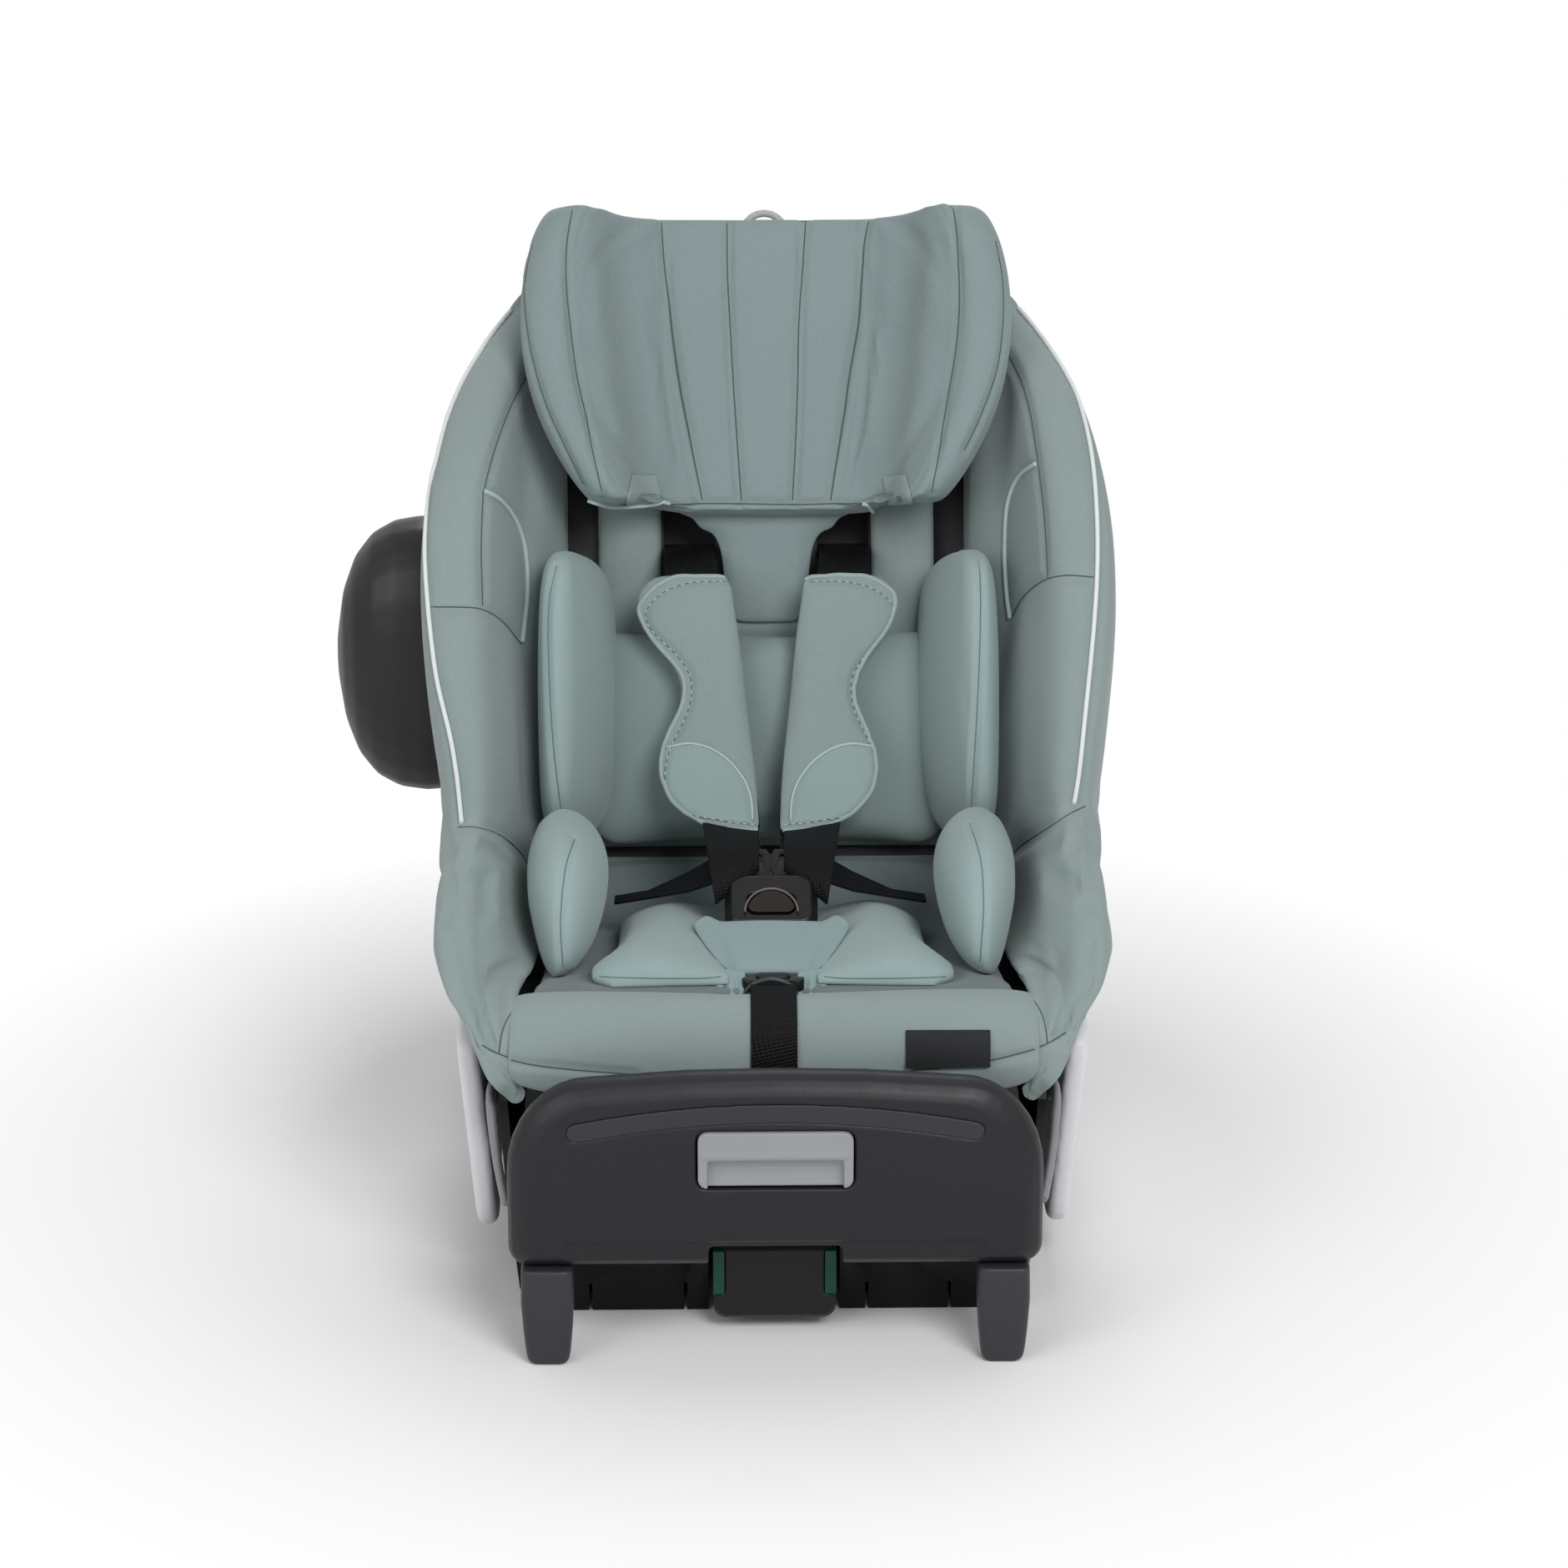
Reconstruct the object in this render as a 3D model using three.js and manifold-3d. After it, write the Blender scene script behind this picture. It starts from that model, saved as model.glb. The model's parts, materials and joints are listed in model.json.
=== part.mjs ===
// A rear-facing child car seat on its base: a padded bucket on recline rails, a height-adjusted headrest
// with a five-point harness, a newborn insert, a pull-out front bar, a folding support leg and a side pod.
// Millimetres, +Z up, the child faces -Y, and the base stands on Z = 0 about the middle of its rear bar.
import * as THREE from "three";
import { mergeVertices } from "three/addons/utils/BufferGeometryUtils.js";
import Module from "manifold-3d";

const wasm = await Module();
wasm.setup();

const degrees = (angle) => (angle * Math.PI) / 180;
const sides = [
  ["left", -1],
  ["right", 1],
];

// Clearances that every piece shares
const fit = 0.3; // between pieces that touch
const slip = 0.6; // round a piece that slides in another
const overrun = 3; // how far a cutter runs past the face that it cuts
const weld = 1e-4; // corners nearer than this are one

// The bucket: back and pan meet at the crease, and the pan curls down over the front edge
const seat = {
  creaseY: 30,
  creaseZ: 158,
  backLean: degrees(25),
  panRise: degrees(11),
  creaseRadius: 45,
  panLength: 245,
  frontRadius: 33,
  curlShare: 0.85,
  backHeight: 455,
  rimReach: 254,
  halfWidth: 222,
  floorHalfWidth: 150,
  padding: 14,
  wall: 4.5,
  rimLift: 8,
  rimSlot: 8,
  hemThickness: 4,
  hemShare: 0.28,
  wallSlant: 1.15,
  bolsterCrown: 2,
};

// Recline: the seat rocks about this axis on two curved rails
const recline = { axisY: -20, axisZ: 430, railRadius: 320, step: degrees(5) };
const rail = { inner: 75, width: 35, front: -175, rear: 190, groove: 8 };
const runner = { width: 14, rear: 165, rearHeight: 222, web: 16 };

// The base and what folds into it
const base = {
  halfWidth: 152,
  front: -232,
  rear: 275,
  deck: 74,
  chamfer: 15,
  wall: 6,
  wallTop: 120,
  wallFoot: 158,
  wallSpread: 12,
  slitWidth: 2,
  slitHeight: 18,
  slitDepth: 26,
};
const slitShares = [-0.75, -0.365, 0.37, 0.705];
const socket = { width: 34, height: 34, length: 160 };
const plate = {
  front: -196,
  length: 262,
  foot: 27,
  height: 143,
  thickness: 13,
  topHalfWidth: 195,
  footHalfWidth: 184,
  bossRadius: 13,
};
const arm = { width: 15, thickness: 6, start: 40, reach: 118, sweep: 11, drop: 20, rise: 22 };
const leg = {
  hingeY: 222,
  hingeZ: 32,
  pinRadius: 6,
  pinHalfLength: 50,
  outerHalfWidth: 30,
  outerHeight: 36,
  outerFront: -60,
  wall: 3,
  innerFront: -238,
  innerRear: 70,
  pivotRadius: 20,
};
const foot = {
  halfWidth: 37.5,
  bottom: 8,
  height: 51,
  front: -264,
  length: 34,
  round: 8,
  stripe: 7,
  stripeShare: 0.57,
};
const legButton = { halfWidth: 9, length: 30, y: 120, proud: 3 };

// The pull-out front bar and its handle
const bar = {
  halfWidth: 160,
  bottom: 63.6,
  top: 189,
  cornerWidth: 50,
  cornerHeight: 60,
  round: 12,
  lowerCorner: 12,
  crown: 5,
  clearance: 41.5,
  thickness: 24,
  legWidth: 32,
  legInset: 7,
  legThickness: 22,
  tube: 19,
  tubeZ: 91.5,
  tubeRear: -92,
  stepHeight: 20,
  stepDepth: 2.5,
  stepHalfWidth: 126,
  notchHalfWidth: 40,
  notchHeight: 15,
};
const inlay = { halfWidth: 118, middle: 166.5, height: 12, arch: 12, depth: 2 };
const handle = { halfWidth: 46.5, bottom: 118, height: 37, corner: 6, thickness: 10, proud: 1 };
const handleStem = { halfWidth: 18, height: 12, length: 9 };
const scoop = { radius: 15, depth: 6, rise: 8 };
const lip = { radius: 4, rise: 21.5, proud: 1 };

// The side pod on the shell's left wall
const pod = { y: 92, z: 318, halfDepth: 50, halfHeight: 93, inner: 196, reach: 282, plate: 4 };
const podStem = { y: 80, half: 24, length: 50, peg: 10, pegLength: 24 };

// Headrest
const head = {
  bottom: 262,
  top: 455,
  halfWidth: 162,
  reach: 98,
  back: 6,
  shell: 4,
  sliderHeight: 12,
  sliderHalfWidth: 11,
  sliderUp: 263,
};
const tongueFlap = { bottom: 190, halfWidth: 59, out: 3.6, thickness: 6 };
const loop = { radius: 14, tube: 2.6, rise: 4, leg: 30, out: -1.4 };

// Harness
const strap = { width: 33, hipWidth: 24, thickness: 1.6, slotX: 51, hipX: 99, hipF: 96, hipLift: 27 };
const pads = { thickness: 9, height: 222, reach: 105, halfWidth: 87 };
const buckle = { f: 146, above: 32, tilt: degrees(28), width: 58, length: 45, thickness: 18, corner: 10 };
const buckleButton = { width: 30, length: 17, thickness: 4, proud: 1.5, pocket: 7 };
const blade = { width: 21, length: 24, thickness: 2.4, inside: 9, slotWidth: 15, slotHeight: 5 };
const slots = { bottom: 236, height: 164 };
const crotch = { f: 178, slot: 12, width: 38 };
const crotchPad = { rear: 165.5, front: 219, rearLift: 29, frontLift: 3, halfWidth: 50, thickness: 6 };
const adjuster = {
  setback: 14,
  length: 20,
  width: 38,
  height: 5,
  buttonWidth: 20,
  buttonLength: 12,
  travel: 3,
};
const tail = { width: 28, length: 72.4, lift: 0.4 };
const tag = { x: 79, width: 51, beyond: 38, length: 22, thickness: 1 };

// Newborn insert and the covers' own sizes
const insert = { bottom: 42, top: 186, halfWidth: 96, edge: 12, crown: 17, sink: 3 };
const pillow = { bottom: 44, top: 231, x: 125, out: 54.4, halfWidth: 30, halfReach: 54 };
const hip = { height: 88, x: 127, halfWidth: 28, f: 152, halfLength: 76 };
const lobes = {
  rear: 52,
  setback: 6,
  halfWidth: 122,
  edge: 6,
  crown: 17,
  crestShare: 0.68,
  spreadShare: 0.36,
  notchHalfWidth: 31,
  notchRear: 148,
};
const coverSplit = { back: 40, setback: 1.5 };
const column = { inner: 69, outer: 115, bottom: 212, top: 400 };
const rearCover = { bottom: 185, top: 425, halfWidth: 118, depth: 24, wall: 3 };
const yoke = { bottom: 204, height: 26, halfWidth: 64, thickness: 2.5 };
const lever = { y: -118, z: 150, length: 48, width: 74, thickness: 5, pivot: 4, lug: 8 };

// Places that follow the pan's length: the front bar's faces, and what sits on the pan's front
const panReach = seat.panLength * Math.cos(seat.panRise) + seat.frontRadius - seat.creaseY;
const barRear = -panReach - bar.clearance;
const barFront = barRear - bar.thickness;
const adjusterF = seat.panLength - adjuster.setback;
const lobesFront = seat.panLength - lobes.setback;
const frontSplit = seat.panLength - coverSplit.setback;

// From the seat's middle to the origin
const bodyY = (base.rear + leg.hingeY + leg.pivotRadius + overrun) / 2;

const paint = (color, roughness, metalness = 0) =>
  new THREE.MeshStandardMaterial({ color, roughness, metalness });
const materials = {
  cover: paint(0x8f9d9a, 0.9),
  insert: paint(0x97aeae, 0.92),
  pad: paint(0x88989a, 0.9),
  webbing: paint(0x1c1d21, 0.8),
  shell: paint(0x2a2b2e, 0.55),
  base: paint(0x121215, 0.6),
  bar: paint(0x2d2d32, 0.55),
  trim: paint(0x3c3c42, 0.5),
  silver: paint(0x949699, 0.35, 0.4),
  plate: paint(0xd6d5da, 0.4),
  arm: paint(0x87868b, 0.45),
  green: paint(0x004832, 0.5),
  steel: paint(0xb4b6ba, 0.3, 1),
  blade: paint(0x1c1c1f, 0.4),
  pod: paint(0x1a1a1d, 0.45),
  loop: paint(0xb0b4b3, 0.5),
  button: paint(0x3a1512, 0.4),
  tag: paint(0x1e1e21, 0.85),
};

// Solids

function bareOf(geometry) {
  const bare = geometry.clone();
  for (const name of Object.keys(bare.attributes)) if (name !== "position") bare.deleteAttribute(name);
  return mergeVertices(bare, weld);
}

function solidOf(geometry) {
  const merged = bareOf(geometry);
  return new wasm.Manifold(
    new wasm.Mesh({
      numProp: 3,
      vertProperties: new Float32Array(merged.attributes.position.array),
      triVerts: new Uint32Array(merged.index.array),
    }),
  );
}

function geometryOf(solid) {
  const mesh = solid.getMesh();
  const geometry = new THREE.BufferGeometry();
  geometry.setAttribute("position", new THREE.BufferAttribute(new Float32Array(mesh.vertProperties), 3));
  geometry.setIndex(new THREE.BufferAttribute(new Uint32Array(mesh.triVerts), 1));
  geometry.computeVertexNormals();
  return geometry;
}

const cut = (body, ...tools) =>
  geometryOf(tools.reduce((left, tool) => left.subtract(solidOf(tool)), solidOf(body)));
const join = (body, ...others) =>
  geometryOf(others.reduce((sum, other) => sum.add(solidOf(other)), solidOf(body)));
const mirrored = (geometry) => turnedOut(bareOf(geometry).scale(-1, 1, 1));

// A closed indexed geometry with its faces turned outwards
function turnedOut(geometry) {
  const { position } = geometry.attributes;
  const index = geometry.index.array;
  const corners = [0, 1, 2].map(() => new THREE.Vector3());
  let volume = 0;
  for (let i = 0; i < index.length; i += 3) {
    corners.forEach((corner, k) => corner.fromBufferAttribute(position, index[i + k]));
    volume += corners[0].dot(corners[1].cross(corners[2]));
  }
  if (volume < 0) {
    for (let i = 0; i < index.length; i += 3) [index[i + 1], index[i + 2]] = [index[i + 2], index[i + 1]];
  }
  geometry.computeVertexNormals();
  return geometry;
}

function closedGeometry(points, index) {
  const geometry = new THREE.BufferGeometry().setFromPoints(points);
  geometry.setIndex(index);
  return turnedOut(geometry);
}

// A sheet with thickness: two grids of points joined round their four edges
function slab(front, back) {
  const rows = front.length;
  const columns = front[0].length;
  const at = (side, i, j) => side * rows * columns + i * columns + j;
  const index = [];
  const quad = (a, b, c, d) => index.push(a, b, c, a, c, d);
  for (let i = 0; i < rows - 1; i++) {
    for (let j = 0; j < columns - 1; j++) {
      quad(at(0, i, j), at(0, i, j + 1), at(0, i + 1, j + 1), at(0, i + 1, j));
      quad(at(1, i, j), at(1, i + 1, j), at(1, i + 1, j + 1), at(1, i, j + 1));
    }
    quad(at(0, i, 0), at(0, i + 1, 0), at(1, i + 1, 0), at(1, i, 0));
    quad(at(0, i + 1, columns - 1), at(0, i, columns - 1), at(1, i, columns - 1), at(1, i + 1, columns - 1));
  }
  for (let j = 0; j < columns - 1; j++) {
    quad(at(0, 0, j + 1), at(0, 0, j), at(1, 0, j), at(1, 0, j + 1));
    quad(at(0, rows - 1, j), at(0, rows - 1, j + 1), at(1, rows - 1, j + 1), at(1, rows - 1, j));
  }
  return closedGeometry([...front.flat(), ...back.flat()], index);
}

// A skin over rings of equal point counts, closed at both ends
function loft(rings) {
  const count = rings[0].length;
  const index = [];
  for (let i = 0; i < rings.length - 1; i++) {
    for (let j = 0; j < count; j++) {
      const [a, b] = [i * count + j, i * count + ((j + 1) % count)];
      index.push(a, b, b + count, a, b + count, a + count);
    }
  }
  const cap = (ring, start, turn) => {
    const normal = new THREE.Vector3();
    ring.forEach((p, j) => normal.add(new THREE.Vector3().crossVectors(p, ring[(j + 1) % count])));
    normal.normalize();
    const across = ring[1].clone().sub(ring[0]).projectOnPlane(normal).normalize();
    const along = new THREE.Vector3().crossVectors(normal, across);
    const flat = ring.map((p) => new THREE.Vector2(p.dot(across), p.dot(along)));
    for (const face of THREE.ShapeUtils.triangulateShape(flat, [])) {
      const [a, b, c] = face.map((j) => start + j);
      index.push(...(turn ? [a, c, b] : [a, b, c]));
    }
  };
  cap(rings[0], 0, true);
  cap(rings.at(-1), (rings.length - 1) * count, false);
  return closedGeometry(rings.flat(), index);
}

// Extrusions of a flat shape: drawn in (X, Y) and raised along Z, in (Y, Z) along X, or in (X, Z) towards -Y
const alongX = new THREE.Matrix4().set(0, 0, 1, 0, 1, 0, 0, 0, 0, 1, 0, 0, 0, 0, 0, 1);
const extrude = (shape, depth, options = {}) =>
  new THREE.ExtrudeGeometry(shape, { depth, bevelEnabled: false, curveSegments: 2, ...options });
const extrudeX = (shape, start, width, options) =>
  extrude(shape, width, options).applyMatrix4(alongX).translate(start, 0, 0);
const extrudeY = (shape, start, depth, options) =>
  extrude(shape, depth, options).rotateX(Math.PI / 2).translate(0, start, 0);

const polygon = (points) => new THREE.Shape(points.map(([x, y]) => new THREE.Vector2(x, y)));

function roundedRectangle(x, y, width, height, radius) {
  const shape = new THREE.Shape();
  shape.absarc(x + width - radius, y + radius, radius, -Math.PI / 2, 0);
  shape.absarc(x + width - radius, y + height - radius, radius, 0, Math.PI / 2);
  shape.absarc(x + radius, y + height - radius, radius, Math.PI / 2, Math.PI);
  shape.absarc(x + radius, y + radius, radius, Math.PI, 1.5 * Math.PI);
  return shape;
}

const box = (x, y, z, width, depth, height) =>
  new THREE.BoxGeometry(width, depth, height).translate(x + width / 2, y + depth / 2, z + height / 2);

const rod = (radius, length, segments = 16) =>
  new THREE.CylinderGeometry(radius, radius, length, segments).rotateZ(Math.PI / 2);

// The bucket's own coordinates

const unit = (angle) => new THREE.Vector2(Math.cos(angle), Math.sin(angle));
const backUp = unit(Math.PI / 2 - seat.backLean);
const backOut = unit(Math.PI - seat.backLean);
const panAhead = unit(Math.PI - seat.panRise);
const panAbove = unit(Math.PI / 2 - seat.panRise);
const crease = new THREE.Vector2(seat.creaseY, seat.creaseZ);
const creaseTurn = Math.PI / 2 + seat.panRise - seat.backLean;
const creaseTangent = seat.creaseRadius * Math.tan(creaseTurn / 2);

const mix = (a, b, share) => a + (b - a) * share;
const inPlane = (x, point) => new THREE.Vector3(x, point.x, point.y);
const backSpot = (up, out) => crease.clone().addScaledVector(backUp, up).addScaledVector(backOut, out);
const panSpot = (ahead, above) =>
  crease.clone().addScaledVector(panAhead, ahead).addScaledVector(panAbove, above);
const backPoint = (x, up, out) => inPlane(x, backSpot(up, out));
const panPoint = (x, ahead, above) => inPlane(x, panSpot(ahead, above));

// The padding's face as one path: positive lengths run up the back,
// negative ones along the pan and its front curl
function floorSpot(length, lift = 0) {
  if (length >= creaseTangent) return backSpot(length, lift);
  if (length > -creaseTangent) {
    const turned = (creaseTurn * (creaseTangent - length)) / (2 * creaseTangent);
    const centre = backSpot(creaseTangent, seat.creaseRadius);
    return centre.addScaledVector(unit(Math.PI - seat.backLean - turned), lift - seat.creaseRadius);
  }
  if (length >= -seat.panLength) return panSpot(-length, lift);
  const curled = (-length - seat.panLength) / seat.frontRadius;
  const centre = panSpot(seat.panLength, -seat.frontRadius);
  return centre.addScaledVector(unit(Math.PI / 2 - seat.panRise + curled), seat.frontRadius + lift);
}
const floorPoint = (x, length, lift) => inPlane(x, floorSpot(length, lift));

// Rows of numbers read as smooth curves
function smoothRows(rows, count) {
  const at = (i) => rows[Math.max(0, Math.min(rows.length - 1, i))];
  return Array.from({ length: count }, (_, i) => {
    const place = (i / (count - 1)) * (rows.length - 1);
    const k = Math.min(Math.floor(place), rows.length - 2);
    const t = place - k;
    return rows[0].map((_, c) => {
      const [a, b, d, e] = [at(k - 1)[c], at(k)[c], at(k + 1)[c], at(k + 2)[c]];
      const [v, w] = [(d - a) / 2, (e - b) / 2];
      return (2 * b - 2 * d + v + w) * t ** 3 + (3 * d - 3 * b - 2 * v - w) * t ** 2 + v * t + b;
    });
  });
}

// The bucket's side from the top of the back to under the front: the wall's foot as shares of the
// back's height, or below 0 of the pan's face, and of the floor's half width, then the rim as shares
// of the back's height, the reach and the half width
const sideShares = [
  [0.945, 0.825, 0.935, 0.03, 0.675],
  [0.88, 0.825, 0.88, 0.047, 0.765],
  [0.795, 0.825, 0.795, 0.19, 0.865],
  [0.7, 0.825, 0.7, 0.345, 0.937],
  [0.575, 0.82, 0.58, 0.445, 0.985],
  [0.45, 0.82, 0.485, 0.485, 1],
  [0.33, 0.825, 0.375, 0.53, 0.99],
  [0.187, 0.845, 0.275, 0.58, 0.96],
  [0.055, 0.88, 0.18, 0.63, 0.926],
  [-0.09, 0.91, 0.115, 0.71, 0.912],
  [-0.273, 0.945, 0.055, 0.785, 0.905],
  [-0.423, 0.96, 0, 0.85, 0.91],
  [-0.574, 0.975, -0.05, 0.915, 0.915],
  [-0.676, 1, -0.11, 0.97, 0.905],
  [-0.744, 1, -0.158, 0.995, 0.88],
  [-0.813, 1, -0.215, 1, 0.83],
  [-0.901, 1, -0.26, 0.97, 0.775],
  [-0.977, 1, -0.29, 0.915, 0.71],
];
const panFace = seat.panLength + seat.frontRadius * Math.PI * seat.curlShare;
const sideRows = smoothRows(sideShares, 31).map(([share, footX, up, out, rimX]) => {
  const length = share * (share < 0 ? panFace : seat.backHeight);
  const foot = floorSpot(length);
  const rim = backSpot(up * seat.backHeight, out * seat.rimReach);
  return {
    length,
    footX: footX * seat.floorHalfWidth,
    rimX: rimX * seat.halfWidth,
    foot,
    height: foot.distanceTo(rim),
    rise: rim.clone().sub(foot).normalize(),
  };
});
const wallPoint = (row, x, height) => inPlane(x, row.foot.clone().addScaledVector(row.rise, height));
const footAt = (length) => {
  const k = Math.max(1, sideRows.findIndex((row) => row.length <= length));
  const [a, b] = [sideRows[k - 1], sideRows[k]];
  return mix(a.footX, b.footX, (a.length - length) / (a.length - b.length));
};

// Stuffed pieces

const swell = (t) => Math.sqrt(Math.max(0, 1 - Math.abs(t) ** 3));
const evenly = (count, from = -1, to = 1) =>
  Array.from({ length: count }, (_, i) => mix(from, to, i / (count - 1)));

// A cushion on an outline of [along, left, right] rows: crowned in front, drawn in to a smaller flat back,
// with sewn channels pulled in along some columns
function cushion({ rows, columns, place, edge, crown, draw, channels = [], sink = 0 }) {
  const low = rows[0][0];
  const high = rows.at(-1)[0];
  const middle = (low + high) / 2;
  const front = rows.map(([along, left, right], i) => {
    const v = (2 * i) / (rows.length - 1) - 1;
    return columns.map((u) => {
      const sewn = channels.some((c) => Math.abs(c - u) < 1e-6) ? sink * swell(v) : 0;
      return place(mix(left, right, (u + 1) / 2), along, edge + crown * swell(u) * swell(v) - sewn);
    });
  });
  const back = rows.map(([along, left, right]) => {
    const inset = ((right - left) * draw) / 2;
    return columns.map((u) =>
      place(mix(left + inset, right - inset, (u + 1) / 2), mix(along, middle, draw), 0),
    );
  });
  return slab(front, back);
}

// Flat webbing along stations of [centre, direction across its width, share of it where gathered]
function webbing(stations, width, thickness) {
  const last = stations.length - 1;
  const face = (side) =>
    stations.map(([centre, across, share = 1], i) => {
      const ahead = stations[Math.min(last, i + 1)][0].clone().sub(stations[Math.max(0, i - 1)][0]);
      const normal = new THREE.Vector3().crossVectors(ahead, across).normalize();
      const middle = centre.clone().addScaledVector(normal, (side * thickness) / 2);
      return [-1, 0, 1].map((u) => middle.clone().addScaledVector(across, (u * share * width) / 2));
    });
  return slab(face(1), face(-1));
}
const sideways = new THREE.Vector3(1, 0, 0);
const upright = (stations) => stations.map(([x, spot]) => [inPlane(x, spot), sideways]);

// The assembly tree

const object = new THREE.Group();
const assembly = new THREE.Group();
assembly.position.y = -bodyY;
object.add(assembly);
const under = (parent) => {
  const group = new THREE.Group();
  parent.add(group);
  return group;
};
const frontBar = under(assembly);
const supportLeg = under(assembly);
const bucket = under(assembly);
const headrest = under(bucket);

function part(name, geometry, material, parent = assembly) {
  const mesh = new THREE.Mesh(geometry, material);
  mesh.name = name;
  parent.add(mesh);
  return mesh;
}

// Base

const channelHalfWidth = foot.halfWidth + overrun;
const channelTop = foot.bottom + foot.height + overrun;
const channelRear = leg.hingeY + leg.pivotRadius + overrun;
const tubeX = bar.halfWidth - bar.legInset - bar.legWidth / 2;
const wallX = (z) => base.wallFoot + (base.wallSpread * z) / base.wallTop;
const plateTilt = Math.atan((plate.topHalfWidth - plate.footHalfWidth) / plate.height);
const plateX = (z) => plate.footHalfWidth + (z - plate.foot) * Math.tan(plateTilt);
const bossShares = [0.3, 0.75];

// One side wall, leaning out, with its foot on the tray
function baseWall(side) {
  const rows = [
    [0, base.front + 2 * base.chamfer, base.rear - base.chamfer],
    [base.deck, base.front + 2 * base.chamfer, base.rear - base.chamfer],
    [base.wallTop, base.front + 3 * base.chamfer, base.rear - 3 * base.chamfer],
  ];
  const face = (inset) =>
    rows.map(([z, front, rear]) =>
      evenly(3, front, rear).map((y) => new THREE.Vector3(side * (wallX(z) - inset), y, z)),
    );
  return slab(face(0), face(base.wall));
}

function baseShell() {
  const profile = polygon([
    [base.front, 0],
    [base.front, base.deck - base.chamfer],
    [base.front + base.chamfer, base.deck],
    [base.rear - base.chamfer, base.deck],
    [base.rear, base.deck - base.chamfer],
    [base.rear, 0],
  ]);
  const tray = extrudeX(profile, -base.halfWidth - overrun, 2 * (base.halfWidth + overrun));
  const added = [];
  const pinHole = rod(leg.pinRadius + fit, 2 * (leg.pinHalfLength + fit));
  pinHole.translate(0, leg.hingeY, leg.hingeZ);
  const channelFront = base.front - overrun;
  const channel = box(
    -channelHalfWidth,
    channelFront,
    -overrun,
    2 * channelHalfWidth,
    channelRear - channelFront,
    channelTop + overrun,
  );
  const removed = [channel, pinHole];
  const hole = bar.tube + 2 * slip;
  for (const [, side] of sides) {
    added.push(baseWall(side));
    const housingTop = base.deck + socket.height;
    const housing = box(0, base.front + base.chamfer, 0, socket.width, socket.length, housingTop);
    added.push(housing.translate(side * tubeX - socket.width / 2, 0, 0));
    const bore = box(0, base.front - overrun, bar.tubeZ - hole / 2, hole, socket.length, hole);
    removed.push(bore.translate(side * tubeX - hole / 2, 0, 0));
    for (const share of bossShares) {
      const z = base.wallTop - plate.bossRadius - overrun;
      const start = wallX(z) - base.wall / 2;
      const end = plateX(z - plate.bossRadius) - plate.thickness - fit;
      const boss = rod(plate.bossRadius, end - start, 16);
      added.push(boss.translate((side * (start + end)) / 2, plate.front + plate.length * share, z));
    }
  }
  for (const share of slitShares) {
    const height = base.slitHeight + overrun;
    const slit = box(0, base.front - overrun, -overrun, base.slitWidth, base.slitDepth, height);
    removed.push(slit.translate(share * base.halfWidth, 0, 0));
  }
  return cut(join(tray, ...added), ...removed);
}
part("base_shell", baseShell(), materials.base);

// Curved rails: two cheeks with a groove between them, all round the recline axis
function arcSide(radius, front, rear, low) {
  const from = Math.asin((front - recline.axisY) / radius);
  const to = Math.asin((rear - recline.axisY) / radius);
  const steps = Math.ceil((to - from) / recline.step);
  const arc = evenly(steps + 1, from, to).map((a) => [
    recline.axisY + radius * Math.sin(a),
    recline.axisZ - radius * Math.cos(a),
  ]);
  return polygon([[front, low], ...arc, [rear, low]]);
}
function railSolid(side) {
  const low = base.deck + fit;
  const cheek = (rail.width - runner.width) / 2 - slip;
  const sole = arcSide(recline.railRadius + rail.groove, rail.front, rail.rear, low);
  const floor = extrudeX(sole, 0, rail.width);
  const rim = arcSide(recline.railRadius, rail.front, rail.rear, low);
  const made = join(floor, extrudeX(rim, 0, cheek), extrudeX(rim, rail.width - cheek, cheek));
  const placed = made.translate(rail.inner, 0, 0);
  return side < 0 ? mirrored(placed) : placed;
}
for (const [name, side] of sides) part(`cradle_rail_${name}`, railSolid(side), materials.trim);

// Side plates: rounded blades that lean out from the base's walls
function plateSolid(side) {
  const [l, h] = [plate.length, plate.height];
  const outline = new THREE.Shape();
  outline.moveTo(0.04 * l, 0.14 * h);
  outline.quadraticCurveTo(0.05 * l, 0, 0.16 * l, 0);
  outline.lineTo(0.72 * l, 0.2 * h);
  outline.quadraticCurveTo(0.97 * l, 0.3 * h, l, 0.52 * h);
  outline.quadraticCurveTo(l, 0.84 * h, 0.86 * l, 0.86 * h);
  outline.lineTo(0.12 * l, h);
  outline.quadraticCurveTo(0, h, 0, 0.88 * h);
  const bevel = plate.thickness / 4;
  const blade = extrudeX(outline, -plate.thickness + bevel, plate.thickness - 2 * bevel, {
    bevelEnabled: true,
    bevelThickness: bevel,
    bevelSize: bevel,
    bevelSegments: 1,
    bevelOffset: -bevel,
    curveSegments: 5,
  });
  blade.rotateY(plateTilt).translate(plate.footHalfWidth, plate.front, plate.foot);
  return side < 0 ? mirrored(blade) : blade;
}
for (const [name, side] of sides) part(`side_plate_${name}`, plateSolid(side), materials.plate);

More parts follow.
